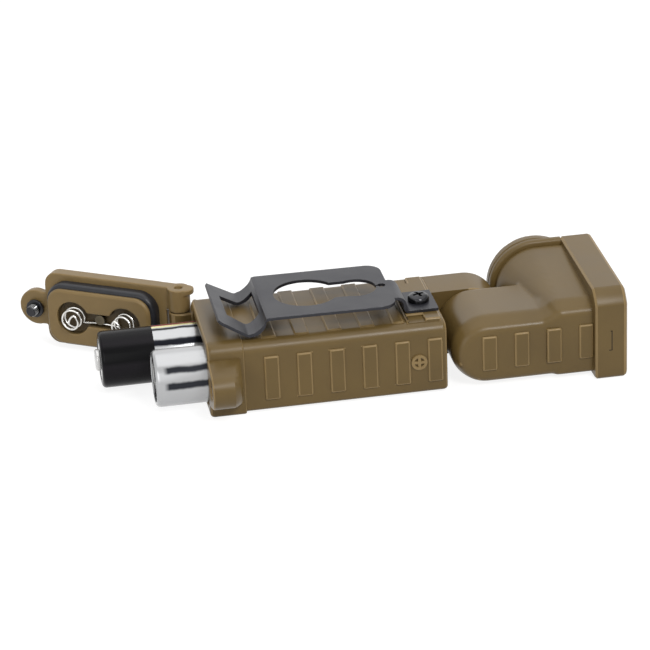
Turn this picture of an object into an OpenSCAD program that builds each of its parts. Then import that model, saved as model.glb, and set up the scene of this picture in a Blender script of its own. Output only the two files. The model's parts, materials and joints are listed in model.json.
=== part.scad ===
// Angle-head pocket flashlight on two AA cells, shown with its battery door swung open and the cells drawn out.
// Millimetres. X runs from the tail to the lens, Y to the selector side, Z up from the surface it lies on.
// The origin is the middle of the tail collar's underside.

/* [Cells] */
// Diameter of one cell
cell_d = 14.3; // [14:0.1:14.5]
// Length of one cell with its nub
cell_l = 50.5; // [49:0.1:50.5]
// Diameter of the positive nub
nub_d = 5.5; // [4.2:0.1:5.5]
// Height of the positive nub
nub_h = 1.1; // [0.8:0.1:1.5]
// Distance between the two cell axes
cell_pitch = 14.6; // [14.5:0.1:14.8]
// Play of a cell in its bore, on the radius
cell_play = 0.25; // [0.2:0.05:0.3]
// Length of the far cell that stands out of the tail
far_out = 25.6; // [20:0.1:30]
// Length of the near cell that stands out of the tail
near_out = 12.65; // [10:0.05:18]
// Height of the cell bores' axes
cell_z = 8.7; // [8.5:0.1:9.4]

/* [Battery case] */
// Length of the tail collar
collar_l = 9.1; // [8:0.1:11]
// Width of the tail collar across both cells
collar_w = 32.05; // [31.6:0.05:34]
// Height of the tail collar
collar_h = 19.35; // [19:0.05:20.5]
// Length of the case from the tail to its head end
case_l = 59.85; // [59.5:0.05:64]
// Step from the collar in to the grip
grip_step = 0.45; // [0.3:0.05:0.7]
// Radius of the long top edges
top_r = 3; // [2:0.1:3.6]
// Radius of the long bottom edges
bottom_r = 1.1; // [0.8:0.1:1.8]
// Radius round the ends
end_r = 1.1; // [0.6:0.1:1.4]
// Depth of the tail recess that takes the door's plug
recess_depth = 4.7; // [4.4:0.1:5.4]
// Wall between the cell bores and the head end
end_wall = 2.65; // [2.2:0.05:2.9]

/* [Ribs] */
// Number of grip ribs on each face
rib_count = 6; // [4:1:6]
// Distance of the first rib from the tail
rib_start = 13.85; // [12.6:0.05:14.4]
// Distance from rib to rib
rib_pitch = 8.18; // [7.6:0.02:8.26]
// Width of a rib
rib_w = 3.76; // [2.8:0.02:4.2]
// Height of a side rib's lower end
rib_z0 = 3.4; // [2.8:0.1:4.6]
// Height of a side rib's upper end
rib_z1 = 15.05; // [13:0.05:15.4]
// How far a side rib stands out
side_rib_h = 0.55; // [0.4:0.05:0.75]
// How far a top rib stands out
top_rib_h = 0.45; // [0.3:0.05:0.55]

/* [End block] */
// Length of the raised block under the clip's foot
block_l = 9.75; // [8.6:0.05:10.4]
// Width of the raised block
block_w = 26.4; // [25.4:0.1:27]
// Height of the raised block above the grip
block_h = 0.75; // [0.5:0.05:0.9]
// Length of the notch in each long side of the block
notch_l = 4.05; // [2.8:0.05:4.6]
// Depth of that notch
notch_depth = 3.5; // [2:0.1:3.7]

/* [Door] */
// Distance of the hinge axis behind the tail face
hinge_back = 2.15; // [2:0.05:2.6]
// Distance of the hinge axis from the collar's far side
hinge_out = 5.2; // [5:0.1:5.8]
// Radius of the hinge barrel
barrel_r = 2.85; // [2.5:0.05:3]
// Diameter of the hinge pin
hinge_pin_d = 2; // [1.6:0.1:2.2]
// Length of the door's own half of the hinge barrel
door_barrel_l = 6.2; // [5.6:0.1:9]
// Angle that the door stands open
door_open = 121.8; // [114:0.2:124]
// Thickness of the door's flange
door_t = 3.85; // [3:0.05:4.4]
// Height of the plug above the flange
plug_h = 3.8; // [3.5:0.1:4]
// Width of the plug
plug_w = 29.3; // [28.4:0.1:29.4]
// Height of the plug's outline
plug_z = 15.2; // [14.8:0.1:15.4]
// Corner radius of the plug
plug_r = 4.3; // [4:0.1:6.5]
// Gap between the plug and its recess
plug_gap = 0.2; // [0.2:0.05:0.3]
// Thickness of the rubber gasket
gasket_t = 1.7; // [1.4:0.1:1.8]
// Width of the gasket's face
gasket_w = 1.15; // [0.9:0.05:1.2]
// Diameter of each spring well in the plug
well_d = 9; // [8.6:0.1:9.6]
// Depth of each spring well
well_depth = 2.3; // [2.1:0.1:2.8]

/* [Door spring] */
// Diameter of the spring wire
wire_d = 0.6; // [0.5:0.05:0.7]
// Mean diameter of the lowest turn
coil_base_d = 5.2; // [5:0.1:5.8]
// Mean diameter of the top turn
coil_top_d = 4.8; // [4.4:0.1:5]
// Turns of each cone
coil_turns = 2.25; // [2.25:1:3.25]
// Height of each cone between wire centres
coil_h = 4; // [3.4:0.1:4.6]

/* [Latch] */
// Distance of the latch screw's axis from the collar's near side
latch_out = 3.7; // [3.4:0.1:4]
// Radius of the latch ear and boss
latch_r = 4.8; // [4.6:0.1:5.2]
// Height of the boss where it meets the collar
boss_base = 12.2; // [11:0.1:12.4]
// Length of the boss
boss_l = 7.7; // [7:0.1:8.4]
// Diameter of the latch screw's thread
latch_d = 3; // [2.5:0.1:3.4]
// Length of thread that stands out of the ear
latch_reach = 3.4; // [3:0.1:5]
// Diameter of the latch screw's head
latch_head_d = 6; // [5.6:0.1:7]
// Height of the latch screw's head
latch_head_h = 2.6; // [2.4:0.1:3.6]

/* [Clip] */
// Thickness of the spring steel
clip_t = 0.85; // [0.7:0.05:0.95]
// Width of the clip's plate
clip_w = 26.3; // [23:0.1:27]
// Offset of the plate towards the near side
clip_y = -1.1; // [-2:0.1:0]
// Clear height between the top ribs and the plate
clip_gap = 4.15; // [4.1:0.05:4.6]
// Distance of the plate's tail end bend from the tail
plate_start = 15.3; // [14.6:0.1:16]
// Distance of the bend down to the foot from the tail
plate_end = 50.2; // [49:0.1:50.4]
// Radius of the hips where the plate narrows to its neck
hip_r = 3.8; // [3:0.1:4.6]
// Distance of the hips' end from the tail
hip_end = 47.9; // [47:0.1:48.3]
// Width of the neck and foot
foot_w = 11.5; // [10.4:0.1:12]
// Offset of the neck and foot
foot_y = -4.05; // [-4.6:0.05:-3]
// Length of the foot
foot_l = 7.9; // [7.5:0.1:8.4]
// Height of the lip's edge above the plate's top
lip_rise = 0.6; // [0.4:0.1:1.2]
// Distance of the lip's edge from the tail
lip_end = 3.4; // [3:0.1:4.6]
// Distance of the lowest bend from the tail
heel_x = 11.5; // [11.2:0.1:12]
// Distance of the large lobe of the opening from the tail
lobe_from_tail = 27.1; // [26.4:0.1:27.6]
// Radius of the large lobe
lobe_r = 8.1; // [7.4:0.1:8.6]
// Distance from the large lobe to the small one
lobe_pitch = 12.6; // [12:0.1:13]
// Radius of the small lobe
small_lobe_r = 5.2; // [4.6:0.1:5.4]
// Width of the waist between the lobes
waist_w = 9.5; // [8.6:0.1:10]

/* [Swivel] */
// Distance of the swivel axis in front of the case
pivot_out = 10.1; // [9.9:0.05:11]
// Radius of the arm's round end
arm_r = 8.7; // [8.3:0.1:8.75]
// Near face of the arm
arm_near = 4.7; // [4.3:0.1:5.2]
// Diameter of the swivel axle
axle_d = 6.5; // [6:0.1:7.5]
// Running clearance of turning fits, on the radius
run = 0.06; // [0.04:0.01:0.1]
// Side clearance between pieces that turn past each other
side_gap = 0.35; // [0.3:0.05:0.45]

/* [Head] */
// Radius of the head's swivel end
knuckle_r = 8.75; // [8.4:0.05:8.9]
// Inset of the swivel end from the collar's near side
knuckle_in = 0.025; // [-0.4:0.025:0.5]
// Radius of the swivel end's near edge
knuckle_edge = 4.2; // [3:0.1:4.4]
// Distance of the lens housing's round side from the swivel axis
drum_out = 19.8; // [19.6:0.05:20.6]
// Height of the round side's axis
drum_z = 12.3; // [12.1:0.1:12.6]
// Radius of the round side at the selector
drum_r = 10.7; // [10.3:0.1:10.8]
// How far the lens housing stands past the swivel end's near side
housing_out = 0.35; // [0.2:0.05:0.8]
// Radius of the lens housing's near edges
housing_edge = 4.7; // [3.3:0.1:5]
// Radius of the housing's upper back edge
brow_r = 6.6; // [5.6:0.1:7]
// Thickness of the D-shaped side plate
plate_t = 1.6; // [1.3:0.1:1.8]
// Radius of the side plate
plate_r = 12.05; // [11.8:0.05:12.2]

/* [Face] */
// Distance of the bezel's back edge from the round side's axis
bezel_out = 6.9; // [6.7:0.05:7.4]
// Depth of the bezel
bezel_l = 8.3; // [7.8:0.05:9]
// How far the bezel stands past the lens housing's near side
bezel_over = 2.45; // [2.2:0.05:2.8]
// How far the bezel stands past the side plate
bezel_past = 0.075; // [0.05:0.025:0.2]
// Height of the bezel
bezel_h = 24.6; // [24:0.1:24.8]
// Corner radius of the bezel
bezel_r = 3.8; // [3:0.1:4.4]
// Width of the bezel's frame beside the window
frame_w = 3.7; // [3.2:0.05:4.6]
// Height of the window
window_h = 17.5; // [16:0.1:18.2]
// Corner radius of the window
window_r = 2.8; // [2:0.1:3.6]
// Thickness of the lens
lens_t = 1.5; // [1.2:0.1:2]
// Ledge that holds the lens all round
lens_ledge = 1; // [0.8:0.1:1.2]
// Diameter of the main reflector dish
dish_d = 15; // [13:0.1:16]

/* [Selector] */
// Radius of the selector knob
knob_r = 12.1; // [11.8:0.1:12.2]
// Thickness of the selector knob
knob_t = 3.4; // [3:0.1:4]
// Diameter of the selector's hollow shaft
shaft_d = 5; // [4.4:0.1:6]
// Diameter of the push button
button_d = 10.4; // [9.4:0.1:11.2]
// Travel of the push button
button_travel = 1.2; // [1:0.1:1.4]

/* [Hidden] */
$fn = 64;

// A distance from the tail face as a place on X
function from_tail(d) = d - collar_l / 2;

tail_x = from_tail(0);
case_end_x = from_tail(case_l);
mid_z = collar_h / 2 - 0.2;
grip_w = collar_w - 2 * grip_step;
grip_top = collar_h - grip_step;
grip_h = grip_top - grip_step;
collar_near = -collar_w / 2;
grip_far = grip_w / 2;
rib_top = grip_top + top_rib_h;
block_top = grip_top + block_h;
cell_r = cell_d / 2;
bore_r = cell_r + cell_play;
near_cell_y = -cell_pitch / 2;
far_cell_y = cell_pitch / 2;
// A drawn cell lies on the floor of its bore
cell_rest = 0.05;
cell_axis_z = cell_z - cell_play + cell_rest;

hinge_x = tail_x - hinge_back;
hinge_y = collar_w / 2 + hinge_out;
door_top = collar_h + 0.5;
door_bottom = 0.05;
knuckle_gap = 0.3;
knuckle_split = door_top - door_barrel_l;
gasket_squeeze = 0.5;
flange_in = hinge_back - gasket_t + gasket_squeeze;
latch_y = collar_near - latch_out;
latch_run = hinge_y - latch_y;
door_free = hinge_y - collar_near + 0.75;
plug_mid = hinge_y;

bore_depth = case_l - end_wall;
pivot_x = case_end_x + pivot_out;
pivot_z = mid_z;
knuckle_far = arm_near - side_gap;
drum_x = pivot_x + drum_out;
bezel_x = drum_x + bezel_out;
knuckle_near = collar_near + knuckle_in;
housing_near = knuckle_near - housing_out;
plate_near = grip_far + side_gap;
plate_far = plate_near + plate_t;
bezel_near = housing_near - bezel_over;
bezel_far = plate_far + bezel_past;
face_x = bezel_x + bezel_l;
face_y = (bezel_near + bezel_far) / 2;
face_z = bezel_h / 2;
face_w = bezel_far - bezel_near;
window_w = face_w - 2 * frame_w;
knob_near = bezel_far + side_gap;
knob_far = knob_near + knob_t;

clip_low = rib_top + clip_gap;
clip_top = clip_low + clip_t;
foot_low = block_top;
foot_top = foot_low + clip_t;
screw_x = from_tail(plate_end + clip_t + foot_l / 2);
case_hue = [0.50, 0.41, 0.28];
steel_hue = [0.27, 0.27, 0.29];
brass_hue = [0.72, 0.58, 0.30];
rubber_hue = [0.13, 0.13, 0.14];

// Outline from y = 0 up, with its own radii at the top and bottom corners
module soft_rect(w, h, rt, rb) {
    polygon([[-w/2 + rb, 0], [w/2 - rb, 0], [w/2, rb], [w/2, h - rt],
             [w/2 - rt, h], [-w/2 + rt, h], [-w/2, h - rt], [-w/2, rb]]);
    for (s = [-1, 1]) {
        translate([s * (w/2 - rb), rb]) circle(rb);
        translate([s * (w/2 - rt), h - rt]) circle(rt);
    }
}

// The same with four radii: near low, far low, far top, near top
module corner_rect(w, h, r) {
    polygon([[-w/2 + r[0], 0], [w/2 - r[1], 0], [w/2, r[1]], [w/2, h - r[2]],
             [w/2 - r[2], h], [-w/2 + r[3], h], [-w/2, h - r[3]], [-w/2, r[0]]]);
    translate([-w/2 + r[0], r[0]]) circle(r[0]);
    translate([w/2 - r[1], r[1]]) circle(r[1]);
    translate([w/2 - r[2], h - r[2]]) circle(r[2]);
    translate([-w/2 + r[3], h - r[3]]) circle(r[3]);
}

// The same outline centred on its middle
module round_rect(w, h, r) {
    translate([0, -h/2]) soft_rect(w, h, r, r);
}

// Stands an outline up across X, its own x along Y and its own y along Z
module along_x(x, l) {
    translate([x, 0, 0]) rotate([90, 0, 90]) linear_extrude(l) children();
}

// Cylinder along Y from y0 to y1, with its axis at x and z
module rod_y(x, z, y0, y1, r) {
    translate([x, y1, z]) rotate([90, 0, 0]) cylinder(h = y1 - y0, r = r);
}

// Cylinder along X
module rod_x(x0, x1, y, z, r) {
    translate([x0, y, z]) rotate([0, 90, 0]) cylinder(h = x1 - x0, r = r);
}

// Bar along X with rounded ends: r0 at x, r1 at x + l
module soft_bar(x, l, w, h, rt, rb, r0, r1) {
    steps = 3;
    slice = 0.1;
    hull() for (k = [0:steps]) {
        c = 1 - cos(90 * k / steps);
        s = 1 - sin(90 * k / steps);
        translate([x + r0 * s, 0, r0 * c]) along_x(0, slice)
            soft_rect(w - 2 * r0 * c, h - 2 * r0 * c, max(rt - r0 * c, 0.3), max(rb - r0 * c, 0.3), $fn = 32);
        translate([x + l - r1 * s - slice, 0, r1 * c]) along_x(0, slice)
            soft_rect(w - 2 * r1 * c, h - 2 * r1 * c, max(rt - r1 * c, 0.3), max(rb - r1 * c, 0.3), $fn = 32);
    }
}

// Ribs that end before the rounding at the head end
fitting_ribs = min(rib_count, 1 + floor((case_l - end_r - rib_start - rib_w) / rib_pitch));

// One run of ribs, standing on the face that the caller places
module rib_row(w, d, h) {
    for (k = [0:fitting_ribs - 1])
        translate([from_tail(rib_start + k * rib_pitch), 0, 0]) cube([w, d, h]);
}

module battery_case() {
    color(case_hue) difference() {
        union() {
            soft_bar(tail_x, collar_l, collar_w, collar_h, top_r + grip_step, bottom_r, end_r, grip_step);
            translate([0, 0, grip_step])
                soft_bar(tail_x + collar_l / 2, case_l - collar_l / 2, grip_w, grip_h, top_r, bottom_r, 0.6, end_r);
            for (side = [0, 1]) mirror([0, side, 0])
                translate([0, grip_far - 1, rib_z0]) rib_row(rib_w, 1 + side_rib_h, rib_z1 - rib_z0);
            intersection() {
                translate([0, -grip_w / 2 + top_r - 0.8, grip_top - 1])
                    rib_row(rib_w, grip_w - 2 * top_r + 1.6, 1 + top_rib_h);
                translate([tail_x, -collar_w, 0]) cube([case_l - block_l - 0.6, 2 * collar_w, 2 * collar_h]);
            }
            end_block();
            latch_boss();
            case_knuckle();
            swivel_arm();
            polarity_mark();
        }
        along_x(tail_x - 1, recess_depth + 1) translate([0, mid_z])
            round_rect(plug_w + 2 * plug_gap, plug_z + 2 * plug_gap, plug_r + plug_gap);
        for (y = [near_cell_y, far_cell_y]) rod_x(tail_x - 1, tail_x + bore_depth, y, cell_z, bore_r);
        translate([tail_x - 1, -cell_pitch / 2, cell_z - board_h / 2 - 0.1])
            cube([bore_depth + 1, cell_pitch, board_h + 0.2]);
        rod_x(tail_x - 1, tail_x + insert_l, latch_y, mid_z, latch_d / 2 + insert_wall);
        rod_x(tail_x - 1, tail_x + boss_l - 1.6, latch_y, mid_z, latch_d / 2 + 0.2);
        translate([screw_x, foot_y, block_top - clip_insert_l]) cylinder(h = clip_insert_l + 1, r = clip_insert_r);
        translate([hinge_x, hinge_y, -1]) cylinder(h = collar_h, r = hinge_pin_d / 2);
        rod_y(pivot_x, pivot_z, arm_near - 1, grip_far + 1, bush_r);
        rod_y(pivot_x, pivot_z, grip_far - seat_depth, grip_far + 1, washer_r + side_gap);
        rod_y(pivot_x, pivot_z, arm_near - 1, arm_near + seal_groove, seal_r);
    }
}

board_t = 1.2;
board_h = 8;
insert_l = 6;
insert_wall = 0.9;
clip_insert_r = 1.9;
clip_insert_l = 3.4;
bush_wall = 1;
bush_r = axle_d / 2 + run + bush_wall;
washer_t = 0.6;
washer_r = 5;
screw_head_t = 1.6;
seat_depth = 2.8;
seal_w = 1.3;
seal_r = bush_r + 0.3 + seal_w;
seal_groove = 0.9;
block_x = case_end_x - block_l;
block_y = -0.5;

// Raised pad that the clip's foot is screwed down on
module end_block() {
    difference() {
        translate([block_x, block_y - block_w / 2, grip_top - 1]) cube([block_l - end_r, block_w, 1 + block_h]);
        for (side = [-1, 1])
            translate([block_x + 0.6, block_y + side * (block_w / 2 - notch_depth / 2) - notch_depth / 2, grip_top])
                cube([notch_l, notch_depth, 1 + block_h]);
    }
}

// Half-round lug on the collar that the latch screw bites in
module latch_boss() {
    base_in = 1;
    hull() {
        rod_x(tail_x, tail_x + boss_l - 2.2, latch_y, mid_z, latch_r, $fn = 48);
        rod_x(tail_x, tail_x + boss_l - 0.9, latch_y + 0.7, mid_z, latch_r - 0.3, $fn = 48);
        rod_x(tail_x, tail_x + boss_l, latch_y + 1.7, mid_z, latch_r - 0.9, $fn = 48);
        translate([tail_x, collar_near, mid_z - boss_base / 2]) cube([boss_l + 0.3, base_in, boss_base]);
    }
}

// Lower half of the hinge barrel and the leaf that carries it, which also stops the door
module case_knuckle() {
    low = 0.8;
    high = knuckle_split - knuckle_gap / 2;
    leaf_in = barrel_r + 0.35;
    leaf_t = 1.3;
    leaf_top = collar_h - top_r;
    translate([hinge_x, hinge_y, low]) cylinder(h = high - low, r = barrel_r);
    translate([hinge_x, hinge_y - barrel_r, low]) cube([leaf_in + 0.4, 2 * barrel_r - 0.9, high - low]);
    translate([0, 0, low]) linear_extrude(leaf_top - low) {
        translate([hinge_x + leaf_in, collar_w / 2 - 1]) square([leaf_t, hinge_y - collar_w / 2]);
        translate([hinge_x + leaf_in + leaf_t / 2, hinge_y - 1]) circle(leaf_t / 2);
        translate([hinge_x + leaf_in, collar_w / 2 - 1]) square([leaf_t + 1.6, 1.8]);
    }
}

// Arm on the far side that carries the head's axle
module swivel_arm() {
    edge = 0.35;
    rod_y(pivot_x, pivot_z, arm_near, grip_far - edge, arm_r);
    translate([pivot_x, grip_far, pivot_z]) rotate([90, 0, 0]) cylinder(h = edge, r1 = arm_r - edge, r2 = arm_r);
    translate([case_end_x - end_r - 1, arm_near, pivot_z - arm_r])
        cube([pivot_x - case_end_x + end_r + 1, grip_far - edge - arm_near, 2 * arm_r]);
    translate([case_end_x - end_r - 1, arm_near, pivot_z - arm_r + edge])
        cube([pivot_x - case_end_x + end_r + 1, grip_far - arm_near, 2 * (arm_r - edge)]);
}

// Raised plus in a ring, felt in the dark to tell which way the cells go
module polarity_mark() {
    mark_r = 2;
    line = 0.7;
    rise = 0.45;
    x = from_tail(rib_start + (fitting_ribs - 1.5) * rib_pitch + rib_w / 2);
    difference() {
        rod_y(x, mid_z - 0.5, -grip_far - rise, -grip_far + 0.5, mark_r);
        rod_y(x, mid_z - 0.5, -grip_far - rise - 1, -grip_far, mark_r - line);
    }
    translate([x - mark_r, -grip_far - rise, mid_z - 0.5 - line / 2]) cube([2 * mark_r, 1, line]);
    translate([x - line / 2, -grip_far - rise, mid_z - 0.5 - mark_r]) cube([line, 1, 2 * mark_r]);
}

module hinge_pin() {
    color("silver") translate([hinge_x, hinge_y, 1.2]) cylinder(h = door_top - 2.2, r = hinge_pin_d / 2);
}

module latch_insert() {
    color(brass_hue) difference() {
        rod_x(tail_x + 0.2, tail_x + insert_l, latch_y, mid_z, latch_d / 2 + insert_wall);
        rod_x(tail_x - 1, tail_x + insert_l + 1, latch_y, mid_z, latch_d / 2 + 0.1);
    }
}

module contact_board() {
    color("darkgreen") translate([tail_x + bore_depth - board_t, -board_w / 2, cell_z - board_h / 2])
        cube([board_t, board_w, board_h]);
}

board_w = cell_pitch + 2 * 5.4;
contact_d = 8;
contact_t = 0.4;
contact_dome = 0.6;

// A flat plate with a raised dome for each cell's inner end
module front_contacts() {
    x = tail_x + bore_depth - board_t;
    color("gold") for (y = [near_cell_y, far_cell_y]) {
        rod_x(x - contact_t, x, y, cell_z, contact_d / 2);
        rod_x(x - contact_t - contact_dome, x - contact_t, y, cell_z, nub_d / 2 - 0.8);
    }
}

module swivel_bush() {
    color(brass_hue) difference() {
        rod_y(pivot_x, pivot_z, arm_near + seal_groove, grip_far - seat_depth, bush_r);
        rod_y(pivot_x, pivot_z, arm_near - 1, grip_far, axle_d / 2 + run);
    }
}

// Side profile of the clip as a bent strip: points of its underside with their bend radii
function lip_x() = from_tail(lip_end);
function clip_path() = [
    [lip_x(), clip_top + lip_rise - clip_t], [from_tail(heel_x), heel_z],
    [from_tail(plate_start), clip_low + clip_lift],
    [from_tail(plate_end), clip_low], [from_tail(plate_end), foot_low], [from_tail(plate_end + clip_t + foot_l), foot_low]];
heel_z = grip_top + 0.3;
bend_r = [2.2, 2.4, 1.6, 1.6];
clip_lift = 0.3;

function unit(v) = v / norm(v);
// Arc points that round corner b between a and c with radius r
function corner(a, b, c, r, n = 5) =
    let (u = unit(a - b), v = unit(c - b), half = acos(u * v) / 2, far = r / tan(half),
         mid = b + unit(u + v) * r / sin(half), p0 = b + u * far, p1 = b + v * far,
         a0 = atan2(p0[1] - mid[1], p0[0] - mid[0]), a1 = atan2(p1[1] - mid[1], p1[0] - mid[0]),
         turn = ((a1 - a0 + 540) % 360) - 180)
    [for (k = [0:n]) mid + r * [cos(a0 + turn * k / n), sin(a0 + turn * k / n)]];

// The whole underside line with its bends, then the same line moved out by the thickness
function bent(path, r) = concat([path[0]],
    [for (k = [1:len(path) - 2], p = corner(path[k - 1], path[k], path[k + 1], r[k - 1])) p], [path[len(path) - 1]]);
function normal_at(line, k) =
    let (n = len(line), d = unit(line[min(k + 1, n - 1)] - line[max(k - 1, 0)])) [-d[1], d[0]];
function thick(line, t) = concat(line, [for (k = [len(line) - 1:-1:0]) line[k] + t * normal_at(line, k)]);

lobe_x = from_tail(lobe_from_tail);
small_lobe_x = lobe_x + lobe_pitch;

// Plan of the clip: plate, hips, neck and foot, drawn in at the lip
module clip_plan() {
    heel = from_tail(heel_x);
    half = clip_w / 2;
    plate_l = from_tail(hip_end) - heel;
    lip = lip_x() - 0.3;
    polygon([[lip, -10.7], [lip + 1.3, -half + 0.7], [heel + 0.5, -half], [heel + 0.5, half], [lip, half - 1.5]]);
    translate([heel, -half]) square([plate_l - hip_r, clip_w]);
    translate([heel, -half + hip_r]) square([plate_l, clip_w - 2 * hip_r]);
    for (s = [-1, 1]) translate([from_tail(hip_end) - hip_r, s * (half - hip_r)]) circle(hip_r);
    translate([from_tail(hip_end) - 1, foot_y - clip_y - foot_w / 2])
        square([from_tail(plate_end + foot_l) - from_tail(hip_end) + 4, foot_w]);
}

// Double-lobed opening with its small relief slit, and the window in the lip
module clip_openings() {
    slit_l = 2.8;
    slit_w = 2;
    translate([lobe_x, 0]) circle(lobe_r);
    translate([small_lobe_x, 0]) circle(small_lobe_r);
    translate([lobe_x, -waist_w / 2]) square([small_lobe_x - lobe_x, waist_w]);
    translate([small_lobe_x + small_lobe_r - 0.4, -0.35]) square([1.2, 0.7]);
    translate([small_lobe_x + small_lobe_r + slit_l / 2, 0]) circle(slit_w / 2);
    translate([tail_x, -clip_y])
        polygon([[6.3, 5.2], [10.8, 5.9], [13.5, 6.7], [13.5, -6.7], [11.5, -7.7], [6.6, -6.3]]);
}

module pocket_clip() {
    color(steel_hue) difference() {
        intersection() {
            translate([0, clip_y + clip_w, 0]) rotate([90, 0, 0]) linear_extrude(2 * clip_w)
                polygon(thick(bent(clip_path(), bend_r), clip_t));
            translate([0, clip_y, 0]) linear_extrude(2 * collar_h) clip_plan();
        }
        translate([0, clip_y, 0]) linear_extrude(2 * collar_h) clip_openings();
        translate([screw_x, foot_y, 0]) cylinder(h = 2 * collar_h, r = clip_hole_r);
    }
}

clip_screw_r = 1.25;
clip_hole_r = 1.5;
pan_r = 2.7;
pan_h = 1.7;

// Pan-head screw with a cross recess
module clip_screw() {
    cross_w = 0.7;
    cross_l = 2.8;
    cross_depth = 0.9;
    color([0.12, 0.12, 0.13]) difference() {
        union() {
            translate([screw_x, foot_y, foot_top - clip_t - clip_insert_l + 0.6])
                cylinder(h = clip_t + clip_insert_l, r = clip_screw_r);
            translate([screw_x, foot_y, foot_top]) rotate_extrude()
                polygon([[0, 0], [pan_r, 0], [pan_r, pan_h * 0.45], [pan_r * 0.86, pan_h * 0.8],
                         [pan_r * 0.55, pan_h], [0, pan_h]]);
        }
        for (a = [0, 90]) translate([screw_x, foot_y, foot_top + pan_h]) rotate([0, 0, a + 20])
            cube([cross_l, cross_w, 2 * cross_depth], center = true);
    }
}

module clip_insert() {
    color(brass_hue) difference() {
        translate([screw_x, foot_y, block_top - clip_insert_l]) cylinder(h = clip_insert_l - 0.1, r = clip_insert_r);
        translate([screw_x, foot_y, block_top - clip_insert_l - 1]) cylinder(h = clip_insert_l + 2, r = clip_screw_r + 0.05);
    }
}

// The door is drawn shut, with the hinge axis at its own origin, and then swung open
module on_door() {
    translate([hinge_x, hinge_y, 0]) rotate([0, 0, -door_open]) children();
}

module battery_door() {
    door_h = door_top - door_bottom;
    edge = 0.6;
    corner_r = 3.4;
    clear = barrel_r + 0.5;
    color(case_hue) on_door() difference() {
        union() {
            hull() for (k = [0, 1])
                translate([flange_in - (k == 0 ? door_t - edge : door_t), -door_free / 2 - clear / 2, door_bottom + door_h / 2])
                    rotate([90, 0, 90]) linear_extrude(k == 0 ? door_t - edge : 0.1)
                    round_rect(door_free - clear - 2 * edge * k, door_h - 2 * edge * k, corner_r - edge * k, $fn = 40);
            translate([flange_in, -plug_mid, mid_z]) rotate([90, 0, 90]) linear_extrude(plug_h - 0.5)
                round_rect(plug_w, plug_z, plug_r);
            hull() {
                translate([flange_in + plug_h - 0.51, -plug_mid, mid_z]) rotate([90, 0, 90]) linear_extrude(0.01)
                    round_rect(plug_w, plug_z, plug_r, $fn = 40);
                translate([flange_in + plug_h - 0.01, -plug_mid, mid_z]) rotate([90, 0, 90]) linear_extrude(0.01)
                    round_rect(plug_w - 1, plug_z - 1, plug_r - 0.5, $fn = 40);
            }
            latch_ear();
            translate([0, 0, knuckle_split + knuckle_gap / 2])
                cylinder(h = door_top - knuckle_split - knuckle_gap / 2, r = barrel_r);
            translate([flange_in - door_t + edge, -clear - corner_r - 1, knuckle_split + knuckle_gap / 2])
                cube([door_t - edge, clear + corner_r + 1, door_top - knuckle_split - knuckle_gap / 2]);
            hinge_tab(flange_in - door_t + edge);
        }
        translate([0, 0, -1]) cylinder(h = door_top + 2, r = hinge_pin_d / 2 + run);
        for (y = [near_cell_y, far_cell_y]) spring_well(y - hinge_y);
        translate([flange_in + plug_h - channel_depth, -hinge_y - cell_pitch / 2, mid_z - channel_w / 2])
            cube([channel_depth + 1, cell_pitch, channel_w]);
        rod_x(flange_in - 2 * door_t, flange_in + door_t, -latch_run, mid_z, latch_d / 2 + run);
        rod_x(flange_in - 2 * door_t, ear_out, -latch_run, mid_z, latch_head_d / 2 + side_gap);
    }
}

// Rounded end of the flange's top that covers the hinge
module hinge_tab(back) {
    tab_t = 1.4;
    tab_l = 4;
    tab_w = 4.3;
    translate([0, 0, door_top - tab_t]) linear_extrude(tab_t) {
        translate([back, 0]) square([tab_w, tab_l - tab_w / 2]);
        translate([back + tab_w / 2, tab_l - tab_w / 2]) circle(tab_w / 2);
    }
}

channel_w = 3.8;
channel_depth = well_depth;
rivet_r = 0.8;

module spring_well(y) {
    rod_x(flange_in + plug_h - well_depth, flange_in + plug_h + 1, y, mid_z, well_d / 2);
}

// Rounded ear on the free edge that carries the latch screw
module latch_ear() {
    rod_x(flange_in - ear_t, flange_in, -latch_run, mid_z, latch_r);
    translate([flange_in - ear_t, -latch_run, mid_z - latch_r + 0.3]) cube([ear_t, latch_run - door_free + 3, 2 * latch_r - 0.6]);
}

ear_t = 2.2;

module door_gasket() {
    color(rubber_hue) on_door() translate([flange_in, -plug_mid, mid_z]) rotate([90, 0, 90]) linear_extrude(gasket_t)
        difference() {
            round_rect(plug_w + 2 * gasket_w, plug_z + 2 * gasket_w, plug_r + gasket_w);
            round_rect(plug_w + 0.1, plug_z + 0.1, plug_r + 0.05);
        }
}

// One wire: a cone over each well, the bridge between them running round the rivet.
// The path is in the door's own frame, x out of the plug, y along the door and z up.
wire_r = wire_d / 2;
coil_seat = flange_in + plug_h - well_depth + wire_r + 0.1;
bridge_x = flange_in + plug_h - channel_depth + wire_r + 0.1;
steps_per_turn = 16;

// Points of a cone from its base turn to its top; spin is 1 or -1, start is the angle of the first point
function cone_points(y, start, spin) = let (n = round(coil_turns * steps_per_turn))
    [for (k = [0:n]) let (u = k / n, r = (coil_base_d + (coil_top_d - coil_base_d) * u) / 2,
        a = start + spin * 360 * coil_turns * u)
        [coil_seat + coil_h * u, y + r * cos(a), mid_z + r * sin(a)]];
function reversed(list) = [for (k = [len(list) - 1:-1:0]) list[k]];
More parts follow.
